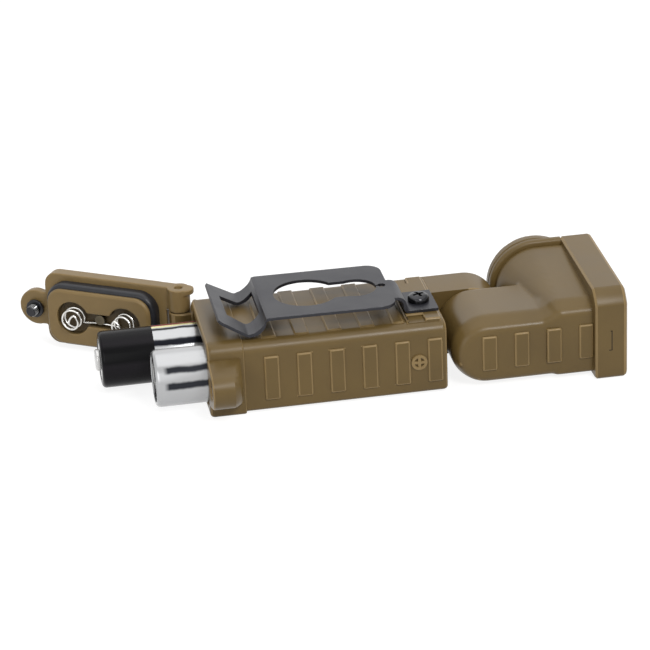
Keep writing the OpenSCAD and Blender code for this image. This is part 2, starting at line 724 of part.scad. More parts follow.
// Both cones meet the bridge at their base turns, below the rivet, so the wire passes it on one side
bridge_z = mid_z - rivet_r - wire_r - 0.05;
near_wire = cone_points(near_cell_y - hinge_y, -40, 1);
far_wire = cone_points(far_cell_y - hinge_y, 220, -1);
bridge = [for (k = [1:5]) let (u = k / 6) [coil_seat * (1 - sin(180 * u)) + bridge_x * sin(180 * u),
    (near_wire[0] * (1 - u) + far_wire[0] * u)[1],
    near_wire[0][2] * (1 - sin(180 * u)) + bridge_z * sin(180 * u)]];
wire_path = concat(reversed(near_wire), bridge, far_wire);

function tangent(p, k) = unit(p[min(k + 1, len(p) - 1)] - p[max(k - 1, 0)]);
// Carries a side vector along the path without twist
function frames(p, k = 0, v = [1, 0, 0]) = k >= len(p) ? [] :
    let (t = tangent(p, k), side = unit(v - t * (t * v))) concat([side], frames(p, k + 1, side));

module tube(p, r, sides = 6) {
    side = frames(p, 0, [0.3, 0.2, 0.93]);
    n = len(p);
    rings = [for (k = [0:n - 1]) let (t = tangent(p, k), up = cross(t, side[k]))
        for (j = [0:sides - 1]) p[k] + r * (side[k] * cos(360 * j / sides) + up * sin(360 * j / sides))];
    walls = [for (k = [0:n - 2], j = [0:sides - 1]) let (a = k * sides + j, b = k * sides + (j + 1) % sides)
        each [[a, b, a + sides], [b, b + sides, a + sides]]];
    ends = [for (j = [1:sides - 2]) each [[0, j + 1, j], [(n - 1) * sides, (n - 1) * sides + j, (n - 1) * sides + j + 1]]];
    polyhedron(points = rings, faces = [for (f = concat(walls, ends)) [f[0], f[2], f[1]]]);
}

module door_spring() {
    color("silver") on_door() tube(wire_path, wire_r);
}

// Least gap between stretches of the wire that lie more than half a turn apart
function wire_gaps(p) = [for (i = [0:len(p) - 1], j = [i + steps_per_turn / 2:1:len(p) - 1]) norm(p[i] - p[j]) - wire_d];
echo(least_wire_gap = min(wire_gaps(wire_path)));

module spring_rivet() {
    head_r = 1.4;
    color("silver") on_door() {
        rod_x(flange_in + plug_h - channel_depth, bridge_x + wire_r + 0.1, -hinge_y, mid_z, rivet_r);
        rod_x(bridge_x + wire_r + 0.1, bridge_x + wire_r + 0.7, -hinge_y, mid_z, head_r);
    }
}

ear_out = flange_in - ear_t;
ring_t = 0.9;

// Captive thumb screw with a slotted, fluted head in a pocket on the outside of the door
module latch_screw() {
    flutes = 12;
    color([0.14, 0.14, 0.15]) on_door() difference() {
        union() {
            rod_x(ear_out - 0.5, flange_in + latch_reach, -latch_run, mid_z, latch_d / 2);
            rod_x(ear_out - 0.3 - latch_head_h, ear_out - 0.3, -latch_run, mid_z, latch_head_d / 2);
        }
        for (k = [0:flutes - 1]) rotate([0, 0, 0]) translate([0, -latch_run, mid_z]) rotate([k * 360 / flutes, 0, 0])
            rod_x(ear_out - 1 - latch_head_h, ear_out - 0.8, latch_head_d / 2 + 0.3, 0, 0.7);
        translate([ear_out - 0.3 - latch_head_h - 1, -latch_run - latch_head_d / 2, mid_z - 0.6])
            cube([2, latch_head_d, 1.2]);
    }
}

// Ring that keeps the latch screw in the ear
module latch_ring() {
    color(rubber_hue) on_door() difference() {
        rod_x(flange_in + 0.3, flange_in + 0.3 + ring_t, -latch_run, mid_z, latch_d / 2 + 0.9);
        rod_x(flange_in, flange_in + 2 + ring_t, -latch_run, mid_z, latch_d / 2);
    }
}

// Jacketed can of one cell along X between x0 and x1, with rounded shoulders
module cell_can(x0, x1, y) {
    shoulder = 0.5;
    l = x1 - x0;
    translate([x0, y, cell_axis_z]) rotate([0, 90, 0]) rotate_extrude()
        polygon([[0, 0], [cell_r - shoulder, 0], [cell_r - 0.15, 0.15], [cell_r, shoulder],
                 [cell_r, l - shoulder], [cell_r - 0.15, l - 0.15], [cell_r - shoulder, l], [0, l]]);
}

far_cell_x = tail_x - far_out;
near_cell_x = tail_x - near_out;
end_disc_r = 5.6;

module far_cell() {
    color([0.2, 0.2, 0.22]) cell_can(far_cell_x + nub_h, far_cell_x + cell_l, far_cell_y);
}

// Positive end: the raised nub of the far cell
module far_cell_cap() {
    color("silver") translate([far_cell_x, far_cell_y, cell_axis_z]) rotate([0, 90, 0]) rotate_extrude()
        polygon([[0, 0], [nub_d / 2 - 0.4, 0], [nub_d / 2, 0.3], [nub_d / 2, nub_h], [0, nub_h]]);
}

module near_cell() {
    color([0.75, 0.75, 0.77]) cell_can(near_cell_x, near_cell_x + cell_l - nub_h, near_cell_y);
}

// Inner end of the near cell: its positive nub
module near_cell_base() {
    color("silver") rod_x(near_cell_x + cell_l - nub_h, near_cell_x + cell_l, near_cell_y, cell_axis_z, nub_d / 2);
}

// Swivel end of the head: a drum about the swivel axis run into the lens housing
bar_back = 2.25;

module head_knuckle() {
    steps = 4;
    low_edge = 2;
    depth = 3.7;
    bar_x = drum_x - bar_back;
    hull() for (k = [0:steps]) {
        top = knuckle_edge * (1 - cos(90 * k / steps));
        low = low_edge * (1 - cos(90 * k / steps));
        s = depth * (1 - sin(90 * k / steps));
        rod_y(pivot_x, pivot_z + (low - top) / 2, knuckle_near + s, knuckle_far, knuckle_r - (low + top) / 2, $fn = 56);
        translate([bar_x, knuckle_near + s, pivot_z - knuckle_r + low])
            cube([1, knuckle_far - knuckle_near - s, 2 * knuckle_r - low - top]);
    }
}

housing_top = drum_z + drum_r;
housing_low = 0.7;
back_x = drum_x - 0.415 * drum_r;

// Near half of the lens housing, with its long upper edge rounded
module near_housing() {
    steps = 4;
    low_edge = 1.2;
    depth = 4;
    brow_x = back_x + brow_r;
    brow_z = housing_top - brow_r;
    mid_far = knuckle_far - 1;
    for (k = [0:steps]) {
        top = housing_edge * (1 - cos(90 * k / steps));
        low = low_edge * (1 - cos(90 * k / steps));
        y = housing_near + depth * (1 - sin(90 * k / steps));
        rod_y(brow_x, brow_z, y, mid_far, brow_r - top, $fn = 48);
        translate([bezel_x - 1, y, housing_low + low]) cube([2, mid_far - y, housing_top - top - housing_low - low]);
        translate([back_x + 1.4 + low, y, housing_low + low]) cube([1, mid_far - y, 1]);
    }
}

// Lens housing: round at the selector, squarer at the near side, square at the bezel
module lens_housing() {
    far_disc = 1.2;
    front_w = plate_near - housing_near;
    hull() {
        rod_y(drum_x, drum_z, plate_near - far_disc, plate_near, drum_r, $fn = 96);
        near_housing();
        along_x(bezel_x - 1, 2) translate([housing_near + front_w / 2, housing_low])
            corner_rect(front_w, housing_top - housing_low, [1.2, 1, 1, housing_edge], $fn = 40);
    }
}

// Slope from the swivel end up to the lens housing
module head_slope() {
    steps = 4;
    depth = 3.8;
    slope_x = drum_x - 0.537 * drum_r;
    slope_l = 4.4;
    inset = 0.06;
    rise = 3.6;
    hull() for (k = [0:steps]) {
        top = knuckle_edge * (1 - cos(90 * k / steps));
        y = knuckle_near + inset + depth * (1 - sin(90 * k / steps));
        translate([slope_x, y, pivot_z]) cube([0.1, knuckle_far - y - 0.5, knuckle_r - top - inset]);
        translate([slope_x + slope_l, y, pivot_z]) cube([0.1, knuckle_far - y - 0.5, knuckle_r + rise - top - inset]);
    }
}

cavity_back = bezel_x - 2.2;
cavity_w = window_w + 2 * lens_ledge;
cavity_h = window_h + 2 * lens_ledge;
cavity_r = window_r + lens_ledge;

module face_outline(w, h, r) {
    translate([face_y, face_z]) round_rect(w, h, r);
}

// Everything in front of the bezel's seat
module front_cut() {
    translate([bezel_x, -collar_w, -collar_h]) cube([2 * bezel_l, 2 * collar_w, 3 * collar_h]);
}

module head_shell() {
    head_rib_z0 = 4.8;
    head_rib_z1 = 14;
    head_rib_x = pivot_x - 0.41 * rib_w;
    color(case_hue) difference() {
        union() {
            head_knuckle();
            head_slope();
            lens_housing();
            for (k = [0:3]) {
                x = head_rib_x + k * rib_pitch;
                near = k < 2 ? knuckle_near : housing_near;
                translate([x, near - side_rib_h, head_rib_z0 + 0.2 * k])
                    cube([rib_w, 3, head_rib_z1 - head_rib_z0]);
            }
        }
        front_cut();
        along_x(cavity_back, 2 * bezel_l) face_outline(cavity_w, cavity_h, cavity_r);
        rod_y(pivot_x, pivot_z, axle_near, knuckle_far + 1, axle_d / 2 + 0.03);
        rod_y(drum_x, drum_z, switch_near, plate_near + 1, switch_r + 0.1);
    }
}

axle_near = -9;
switch_r = 4.4;
switch_near = 9.5;

// D-shaped plate on the far side, round at the back and square at the bezel
module side_plate() {
    color(case_hue) difference() {
        union() {
            rod_y(drum_x, drum_z, plate_near, plate_far, plate_r);
            translate([drum_x, plate_near, drum_z - plate_r]) cube([bezel_x + 1 - drum_x, plate_t, 2 * plate_r]);
        }
        rod_y(drum_x, drum_z, plate_near - 1, plate_far + 1, shaft_d / 2 + run);
        front_cut();
    }
}

// Outside of the bezel drawn in by d: rounder at its near top corner than at the others
module bezel_outline(d) {
    other = 1.3;
    translate([face_y, d]) corner_rect(face_w - 2 * d, bezel_h - 2 * d,
        [for (r = [other, other, 1, bezel_r]) max(r - d, 0.3)], $fn = 40);
}

module face_bezel() {
    edge = 1.1;
    lip = 1.2;
    color(case_hue) difference() {
        hull() {
            along_x(bezel_x, 0.1) bezel_outline(0.5);
            along_x(bezel_x + 0.5, bezel_l - 0.5 - edge) bezel_outline(0);
            along_x(face_x - edge * 0.35, 0.01) bezel_outline(edge * 0.35);
            along_x(face_x - 0.01, 0.01) bezel_outline(edge);
        }
        along_x(bezel_x - 1, bezel_l + 1 - lip) face_outline(cavity_w, cavity_h, cavity_r);
        along_x(face_x - lip - 1, lip + 2) face_outline(window_w, window_h, window_r);
    }
}

lens_x = face_x - 1.2 - lens_t - 0.05;
gasket_back = 1;

module lens() {
    color([0.85, 0.9, 0.92, 0.4]) along_x(lens_x, lens_t) face_outline(cavity_w - 0.2, cavity_h - 0.2, cavity_r - 0.1);
}

module lens_gasket() {
    color(rubber_hue) along_x(lens_x - gasket_back, gasket_back) difference() {
        face_outline(cavity_w - 0.2, cavity_h - 0.2, cavity_r - 0.1);
        face_outline(window_w - 0.4, window_h - 0.4, window_r - 0.2);
    }
}

board_x = cavity_back + 0.2;
reflector_x = board_x + board_t;
reflector_l = lens_x - gasket_back - reflector_x;
well_y = 11.2;
well_z = 4;
lamp_r = 2;
lamp_clear = 0.15;

// Places of the small lamps round the main dish, as y and z from the middle of the face
red_at = [-well_y, 0];
blue_at = [well_y, well_z];
infrared_at = [well_y, -well_z];

module reflector() {
    dish_depth = reflector_l - 0.6;
    throat_r = 3;
    color([0.85, 0.86, 0.88]) difference() {
        along_x(reflector_x, reflector_l) face_outline(cavity_w - 0.4, cavity_h - 0.4, cavity_r - 0.2);
        translate([reflector_x + reflector_l, face_y, face_z]) rotate([0, -90, 0]) rotate_extrude()
            polygon(concat([[0, -1]], [[dish_d / 2, -1]], [for (k = [0:6]) let (u = k / 6)
                [throat_r + (dish_d / 2 - throat_r) * sqrt(1 - u), dish_depth * u]], [[0, dish_depth]]));
        rod_x(reflector_x - 1, reflector_x + 2, face_y, face_z, throat_r);
        for (p = [red_at, blue_at, infrared_at]) {
            rod_x(reflector_x - 1, reflector_x + reflector_l, face_y + p[0], face_z + p[1], lamp_r + lamp_clear);
            translate([reflector_x + reflector_l - 1.6, face_y + p[0], face_z + p[1]]) rotate([0, 90, 0])
                cylinder(h = 1.7, r1 = lamp_r + lamp_clear, r2 = lamp_r + 0.9);
        }
    }
}

module led_board() {
    color("darkgreen") along_x(board_x, board_t) face_outline(cavity_w - 0.4, cavity_h - 0.4, cavity_r - 0.2);
}

// Main emitter: a square package with a dome lens
module white_led() {
    pack_w = 3.6;
    pack_t = 0.9;
    color([0.95, 0.93, 0.75]) {
        translate([reflector_x, face_y - pack_w / 2, face_z - pack_w / 2]) cube([pack_t, pack_w, pack_w]);
        translate([reflector_x + pack_t, face_y, face_z]) rotate([0, 90, 0]) rotate_extrude()
            polygon([[0, 0], for (k = [0:6]) 1.5 * [cos(15 * k), sin(15 * k)]]);
    }
}

// Small round lamp with a domed nose, at a place on the face
module small_lamp(at) {
    body_l = reflector_l - 1.6;
    translate([reflector_x, face_y + at[0], face_z + at[1]]) rotate([0, 90, 0]) rotate_extrude()
        polygon(concat([[0, 0], [lamp_r, 0]],
            [for (k = [0:6]) [lamp_r * cos(15 * k), body_l - lamp_r + lamp_r * sin(15 * k)]]));
}

module red_led() {
    color([0.75, 0.12, 0.1]) small_lamp(red_at);
}

module blue_led() {
    color([0.15, 0.25, 0.75]) small_lamp(blue_at);
}

module infrared_led() {
    color([0.25, 0.2, 0.3]) small_lamp(infrared_at);
}

// Sealed rotary switch behind the selector knob
module selector_switch() {
    socket = 4.4;
    color([0.1, 0.1, 0.11]) difference() {
        rod_y(drum_x, drum_z, switch_near, plate_near, switch_r);
        rod_y(drum_x, drum_z, plate_near - socket, plate_near + 1, shaft_d / 2 + run);
    }
}

axle_far = grip_far - seat_depth + 0.3;

module swivel_axle() {
    color("silver") difference() {
        rod_y(pivot_x, pivot_z, axle_near, axle_far, axle_d / 2);
        rod_y(pivot_x, pivot_z, axle_far - 1.2 * axle_d, axle_far + 1, 1.25);
    }
}

// Flat rubber ring in the arm's near face
module swivel_seal() {
    color(rubber_hue) difference() {
        rod_y(pivot_x, pivot_z, arm_near, arm_near + seal_groove, seal_r);
        rod_y(pivot_x, pivot_z, arm_near - 1, arm_near + seal_groove + 1, seal_r - seal_w);
    }
}

module axle_washer() {
    color("silver") difference() {
        rod_y(pivot_x, pivot_z, axle_far, axle_far + washer_t, washer_r);
        rod_y(pivot_x, pivot_z, axle_far - washer_t, axle_far + 2 * washer_t, 1.35);
    }
}

module axle_screw() {
    head = axle_far + washer_t;
    color([0.12, 0.12, 0.13]) difference() {
        union() {
            rod_y(pivot_x, pivot_z, axle_far - axle_d, head, 1.2);
            rod_y(pivot_x, pivot_z, head, head + screw_head_t, 2.5);
        }
        for (a = [0, 90]) translate([pivot_x, head + screw_head_t, pivot_z]) rotate([0, a, 0])
            cube([2.8, 1.6, 0.7], center = true);
    }
}

// Round selector with finger scallops and a well for the push button
module selector_knob() {
    scallops = 12;
    edge = 0.9;
    shaft_l = 4;
    color(case_hue) difference() {
        union() {
            translate([drum_x, knob_far, drum_z]) rotate([90, 0, 0]) rotate_extrude($fn = 128)
                polygon([[0, 0], [knob_r - edge * 1.6, 0], [knob_r - edge * 0.9, 0.25], [knob_r - edge * 0.3, 0.8],
                         [knob_r, edge * 1.7], [knob_r, knob_t - 0.2], [knob_r - 0.2, knob_t], [0, knob_t]]);
            rod_y(drum_x, drum_z, plate_near - shaft_l, knob_near + 0.1, shaft_d / 2);
        }
        rod_y(drum_x, drum_z, knob_far - button_travel - 1, knob_far + 1, button_d / 2 + side_gap);
        rod_y(drum_x, drum_z, plate_near - shaft_l - 1, knob_far, stem_r + 0.1);
        for (k = [0:scallops - 1]) translate([drum_x, 0, drum_z]) rotate([0, k * 360 / scallops, 0])
            rod_y(knob_r + 2.2, 0, knob_far - edge * 1.3, knob_far + 1, 2.8);
        translate([drum_x, plate_near - 2, drum_z]) rotate([90, 0, 0])
            rotate_extrude() translate([shaft_d / 2, 0]) circle(o_ring_t / 2);
    }
}

stem_r = 1.2;
o_ring_t = 1;

// O-ring in a groove of the selector's shaft
module knob_seal() {
    color(rubber_hue) translate([drum_x, plate_near - 2, drum_z]) rotate([90, 0, 0]) rotate_extrude() difference() {
        translate([shaft_d / 2, 0]) circle(o_ring_t / 2 - 0.02);
        translate([shaft_d / 2, -o_ring_t]) square([o_ring_t, 2 * o_ring_t]);
    }
}

// Domed push button in the middle of the selector, on a stem to the switch
module push_button() {
    rise = 0.9;
    stem_l = 5;
    head_low = knob_far - 1;
    color(rubber_hue) {
        translate([drum_x, head_low, drum_z]) rotate([-90, 0, 0]) rotate_extrude()
            polygon([[0, 0.3], [button_d / 2, 0.3], [button_d / 2, 1], [button_d / 2 - 0.5, 1 + rise * 0.55],
                     [button_d / 2 - 2, 1 + rise * 0.9], [0, 1 + rise]]);
        rod_y(drum_x, drum_z, head_low - stem_l, head_low + 0.4, stem_r);
    }
}

battery_case();
hinge_pin();
latch_insert();
contact_board();
front_contacts();
swivel_bush();
pocket_clip();
clip_screw();
clip_insert();
battery_door();
door_gasket();
door_spring();
spring_rivet();
latch_screw();
latch_ring();
far_cell();
far_cell_cap();
near_cell();
near_cell_base();
head_shell();
side_plate();
face_bezel();
lens();
lens_gasket();
reflector();
led_board();
white_led();
red_led();
blue_led();
infrared_led();
selector_switch();
swivel_axle();
swivel_seal();
axle_washer();
axle_screw();
selector_knob();
knob_seal();
push_button();
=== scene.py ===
"""Looks of an angle-head pocket light with its battery door open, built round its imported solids."""

import json
import math

import bmesh
import bpy
from mathutils import Matrix, Vector


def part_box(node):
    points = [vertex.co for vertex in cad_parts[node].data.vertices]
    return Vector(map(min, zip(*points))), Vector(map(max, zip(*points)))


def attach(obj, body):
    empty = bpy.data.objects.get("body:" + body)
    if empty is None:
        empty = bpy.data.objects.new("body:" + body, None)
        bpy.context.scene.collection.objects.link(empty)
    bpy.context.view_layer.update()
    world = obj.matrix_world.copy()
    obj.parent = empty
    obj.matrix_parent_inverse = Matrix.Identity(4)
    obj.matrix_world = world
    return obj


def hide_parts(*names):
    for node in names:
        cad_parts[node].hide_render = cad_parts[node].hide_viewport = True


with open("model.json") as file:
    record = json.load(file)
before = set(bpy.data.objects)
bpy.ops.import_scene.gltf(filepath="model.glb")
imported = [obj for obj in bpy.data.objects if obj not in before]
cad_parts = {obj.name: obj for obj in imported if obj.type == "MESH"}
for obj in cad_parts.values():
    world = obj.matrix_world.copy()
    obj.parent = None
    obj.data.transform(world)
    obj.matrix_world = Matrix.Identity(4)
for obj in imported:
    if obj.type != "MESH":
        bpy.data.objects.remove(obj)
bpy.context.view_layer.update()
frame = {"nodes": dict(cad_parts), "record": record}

# Lengths are in millimetres until MM turns them to metres. A pair is a place along the light and up.
MM = 0.001
SAME_SPOT = 0.000002
FLAT_ANGLE = math.radians(0.5)
SHARP_ANGLE = math.radians(32.0)
ROUNDED_FROM = math.radians(50.0)
MID_HEIGHT = 9.475

# Cells: their axes, their outer ends and the dark sleeve on the far one
CELL_HEIGHT = 8.5
FAR_AXIS = 7.3
NEAR_AXIS = -7.3
FAR_OUT = -30.15
NEAR_OUT = -17.2
SLEEVE_LENGTH = 14.6

# Door: its hinge, then its plug, wells, wire and stud in the door's own directions, with the hinge as origin
HINGE = Vector((-6.7, 21.225, 0.0))
DOOR_OPEN = math.radians(121.8)
FLANGE_IN = 0.95
PLUG_DEPTH = 3.8
PLUG_WIDE = 29.3
PLUG_HIGH = 15.2
PLUG_R = 4.3
PLUG_MIDDLE = (-HINGE.y + 0.3, MID_HEIGHT + 0.25)
WELL_DEPTH = 2.3
# WELL_DEEP and WELL_RIM are the depths where painted shade in the wells darkens and begins; WELL_R and
# CHANNEL_HALF bound it.
WELL_DEEP = 3.7
WELL_RIM = 4.35
WELL_R = 4.5
CHANNEL_HALF = 2.6
BRIDGE_DEPTH = 2.0
WIRE_ROOM = 0.3
WIRE_GAP = 0.1
WIRE_R = 0.27
COIL_STEPS = 28
COIL_TURNS = 2.25
COIL_HIGH = 4.0
COIL_SEAT_D = 5.2
COIL_TOP_D = 4.8
RIVET_R = 0.8
LATCH_RUN = 40.95
STUD_R = 1.5
STUD_FROM = 2.3
STUD_TO = 4.35
CREST_R = 1.37

# Case: planes that cut its end faces, as the number of an axis and a place, then its small forms
MOUTH_CUTS = ((2, CELL_HEIGHT), (1, 0.0), (1, NEAR_AXIS), (1, FAR_AXIS), (1, -12.0), (1, 12.0))
GRIP_NEAR = -15.575
POLARITY_MARK = (47.99, 8.975)
MARK_R = 2.1
BLOCK_FROM = 45.0
BLOCK_SIDE = 11.0
BLOCK_EDGE = (18.2, 19.15)

# Head: swivel end, lens housing with its falling top and sloped near edge, bezel and side plate
PIVOT = (65.4, 9.475)
SWIVEL_R = 8.75
SWIVEL_NEAR = -16.0
SWIVEL_FAR = 4.35
SWIVEL_INTO = 83.0
SLOPE_FROM = 79.45
SLOPE_TO = 84.1
SLOPE_FOOT = 3.0
DRUM = (85.2, 12.3)
DRUM_R = 10.7
HOUSING_NEAR = -16.35
HOUSING_TOP = 23.0
HOUSING_FALL = 0.0874
HOUSING_LOW = 0.7
HOLLOW_BACK = 89.9
WALL = 0.9
EDGE_DEPTH = 3.7
EDGE_SLOPE = 0.637
FACE_Y = -0.6
PLATE_NEAR = 15.925
BEZEL_BACK = 92.1
BEZEL_CORNER = (-15.0, 20.8)
BEZEL_FALL = 0.9
CORNER_FALL = 1.2
CORNER_FLAT = 0.42

# The near edge of the head: depth from the near side, fall above and rise below
EDGE_PROFILE = (
    (0.0, 3.5, 2.0),
    (0.12, 2.9, 1.6),
    (0.45, 2.25, 1.1),
    (1.0, 1.72, 0.7),
    (1.8, 1.21, 0.4),
    (EDGE_DEPTH, 0.0, 0.0),
)

BODIES = frame["record"]["behaviour"]["bodies"]
BODY_OF = {member: body for body, members in BODIES.items() for member in members}
SLOT_OF = {entry["node"]: entry["material_slot"] for entry in frame["record"]["subparts"]}


# Short ways of building shader nodes


def feed(tree, socket, value):
    """Give a socket another node's output, a colour or a number."""
    if isinstance(value, bpy.types.NodeSocket):
        tree.links.new(value, socket)
    elif isinstance(value, tuple):
        socket.default_value = (*value, 1.0)
    else:
        socket.default_value = value


def add_math(tree, operation, *values):
    """One step of arithmetic."""
    node = tree.nodes.new("ShaderNodeMath")
    node.operation = operation
    for socket, value in zip(node.inputs, values):
        feed(tree, socket, value)
    return node.outputs["Value"]


def add_range(tree, source, low, high, to_low=0.0, to_high=1.0):
    """A value brought from one range to another."""
    node = tree.nodes.new("ShaderNodeMapRange")
    feed(tree, node.inputs["Value"], source)
    for label, value in (("From Min", low), ("From Max", high), ("To Min", to_low), ("To Max", to_high)):
        node.inputs[label].default_value = value
    return node.outputs["Result"]


def add_noise(tree, place, scale, **values):
    """Cloudy noise over a place."""
    node = tree.nodes.new("ShaderNodeTexNoise")
    feed(tree, node.inputs["Vector"], place)
    feed(tree, node.inputs["Scale"], scale)
    for label, value in values.items():
        node.inputs[label].default_value = value
    return node.outputs["Fac"]


def own_place(tree):
    """Place in a piece's own directions."""
    return tree.nodes.new("ShaderNodeTexCoord").outputs["Object"]


# Shader node groups that several finishes share


def start_group(name, inputs, outputs):
    """An empty group, the sockets that enter it and the sockets that leave it."""
    group = bpy.data.node_groups.new(name, "ShaderNodeTree")
    for label, value in inputs:
        socket = group.interface.new_socket(label, in_out="INPUT", socket_type="NodeSocketFloat")
        socket.default_value = value
    for label in outputs:
        group.interface.new_socket(label, in_out="OUTPUT", socket_type="NodeSocketFloat")
    return group, group.nodes.new("NodeGroupInput").outputs, group.nodes.new("NodeGroupOutput").inputs


def make_grain_group():
    """Fine moulded grain with a slow change of tone over it."""
    group, enter, leave = start_group(
        "moulded grain", [("Size", 2600.0), ("Tone size", 60.0)], ["Height", "Tone"]
    )
    place = own_place(group)
    group.links.new(add_noise(group, place, enter["Size"], Detail=3.0, Roughness=0.6), leave["Height"])
    group.links.new(add_noise(group, place, enter["Tone size"], Detail=4.0), leave["Tone"])
    return group


def make_edge_highlight_group():
    """Mask of outer edges that take a painted highlight, a little uneven."""
    group, enter, leave = start_group("painted edge highlights", [("Breakup size", 900.0)], ["Edge"])
    shape = group.nodes.new("ShaderNodeNewGeometry")
    edge = add_range(group, shape.outputs["Pointiness"], 0.515, 0.585)
    breakup = add_noise(group, own_place(group), enter["Breakup size"])
    uneven = add_range(group, breakup, 0.3, 0.6, 0.55)
    group.links.new(add_math(group, "MULTIPLY", edge, uneven), leave["Edge"])
    return group


def make_streak_group():
    """Fine lines along one axis, as on drawn or rolled metal."""
    group, enter, leave = start_group(
        "drawn streaks", [("Along", 40.0), ("Across", 2400.0)], ["Height", "Tone"]
    )
    place = own_place(group)
    scale = group.nodes.new("ShaderNodeCombineXYZ")
    for axis, label in (("X", "Along"), ("Y", "Across"), ("Z", "Across")):
        group.links.new(enter[label], scale.inputs[axis])
    stretch = group.nodes.new("ShaderNodeVectorMath")
    stretch.operation = "MULTIPLY"
    group.links.new(place, stretch.inputs[0])
    group.links.new(scale.outputs["Vector"], stretch.inputs[1])
    group.links.new(add_noise(group, stretch.outputs["Vector"], 1.0, Detail=5.0), leave["Height"])
    group.links.new(add_noise(group, place, 140.0), leave["Tone"])
    return group


GRAIN = make_grain_group()
EDGE_HIGHLIGHTS = make_edge_highlight_group()
STREAKS = make_streak_group()

# Range that the noise of the groups mostly keeps to
NOISE_LOW = 0.3
NOISE_HIGH = 0.7


class Finish:
    """A material with its shader, and short ways of feeding the shader."""

    def __init__(self, name, roughness, metallic=0.0, specular=0.5):
        self.material = bpy.data.materials.new(name)
        self.material.use_nodes = True
        self.tree = self.material.node_tree
        self.shader = self.tree.nodes["Principled BSDF"]
        self.put("Roughness", roughness)
        self.put("Metallic", metallic)
        self.put("Specular IOR Level", specular)

    def put(self, label, value):
        """Feed one of the shader's own sockets."""
        feed(self.tree, self.shader.inputs[label], value)

    def group(self, group, **values):
        """The outputs of a shared group, with its inputs set."""
        node = self.tree.nodes.new("ShaderNodeGroup")
        node.node_tree = group
        for label, value in values.items():
            node.inputs[label.replace("_", " ")].default_value = value
        return node.outputs

    def ramp(self, source, stops):
        """Colours along a value: each stop is a place from 0 to 1 and a colour."""
        node = self.tree.nodes.new("ShaderNodeValToRGB")
        band = node.color_ramp
        while len(band.elements) < len(stops):
            band.elements.new(0.5)
        for element, (place, colour) in zip(band.elements, stops):
            element.position = place
            element.color = (*colour, 1.0)
        feed(self.tree, node.inputs["Fac"], source)
        return node.outputs["Color"]

    def mix(self, factor, first, second):
        """A colour between two, by a factor."""
        node = self.tree.nodes.new("ShaderNodeMix")
        node.data_type = "RGBA"
        feed(self.tree, node.inputs["Factor"], factor)
        for number, value in ((6, first), (7, second)):
            feed(self.tree, node.inputs[number], value)
        return node.outputs[2]

    def scaled(self, noise, low, high):
        """Noise brought to a range."""
        return add_range(self.tree, noise, NOISE_LOW, NOISE_HIGH, low, high)

    def tone(self, texture, dark, light):
        """Colour that wanders between two tones with a texture."""
        return self.mix(self.scaled(texture["Tone"], 0.0, 1.0), dark, light)

    def bump(self, height, strength, distance):
        """Fine relief from a height."""
        node = self.tree.nodes.new("ShaderNodeBump")
        node.inputs["Strength"].default_value = strength
        node.inputs["Distance"].default_value = distance
        feed(self.tree, node.inputs["Height"], height)
        self.put("Normal", node.outputs["Normal"])


def plastic_finish(name, dark, light, roughness, edge=None):
    """Moulded plastic: grain and slow mottling, with a painted highlight on outer edges where the mesh is
    fine enough.
    """
    finish = Finish(name, roughness, specular=0.3)
    grain = finish.group(GRAIN, Size=3200.0, Tone_size=70.0)
    body = finish.tone(grain, dark, light)
    if edge is not None:
        edges = finish.group(EDGE_HIGHLIGHTS, Breakup_size=700.0)
        body = finish.mix(edges["Edge"], body, edge)
    finish.put("Base Color", body)
    finish.put("Roughness", finish.scaled(grain["Tone"], roughness - 0.05, roughness + 0.05))
    finish.bump(grain["Height"], 0.09, 0.00004)
    return finish.material


def rubber_finish(name, dark, light, roughness):
    """Smooth rubber with a faint bloom."""
    finish = Finish(name, roughness, specular=0.35)
    grain = finish.group(GRAIN, Size=4200.0, Tone_size=220.0)
    finish.put("Base Color", finish.tone(grain, dark, light))
    finish.put("Roughness", finish.scaled(grain["Tone"], roughness - 0.06, roughness + 0.06))
    finish.bump(grain["Height"], 0.12, 0.00003)
    return finish.material


def metal_finish(name, dark, light, roughness, metallic, depth=0.05):
    """Drawn, rolled or plated metal with fine streaks."""
    finish = Finish(name, roughness, metallic)
    streaks = finish.group(STREAKS, Along=60.0, Across=2200.0)
    finish.put("Base Color", finish.tone(streaks, dark, light))
    finish.put("Roughness", finish.scaled(streaks["Height"], roughness - 0.05, roughness + 0.06))
    finish.bump(streaks["Height"], depth, 0.00003)
    return finish.material


def coated_finish(name, dark, light, roughness):
    """Dark satin coat on spring steel."""
    finish = Finish(name, roughness, 0.35)
    grain = finish.group(GRAIN, Size=5200.0, Tone_size=110.0)
    finish.put("Base Color", finish.tone(grain, dark, light))
    finish.put("Roughness", finish.scaled(grain["Tone"], roughness - 0.05, roughness + 0.07))
    finish.bump(grain["Height"], 0.14, 0.00003)
    return finish.material


def glass_finish(name, tint, roughness):
    """Clear moulded window."""
    finish = Finish(name, roughness)
    grain = finish.group(GRAIN, Size=900.0, Tone_size=80.0)
    pale = tuple(0.9 * part for part in tint)
    finish.put("Base Color", finish.tone(grain, pale, tint))
    finish.put("Transmission Weight", 1.0)
    finish.put("IOR", 1.49)
    return finish.material


def lamp_finish(name, tint, deep):
    """Tinted resin of a small lamp."""
    finish = Finish(name, 0.12)
    grain = finish.group(GRAIN, Size=1500.0, Tone_size=400.0)
    finish.put("Base Color", finish.tone(grain, deep, tint))
    finish.put("Coat Weight", 0.6)
    return finish.material


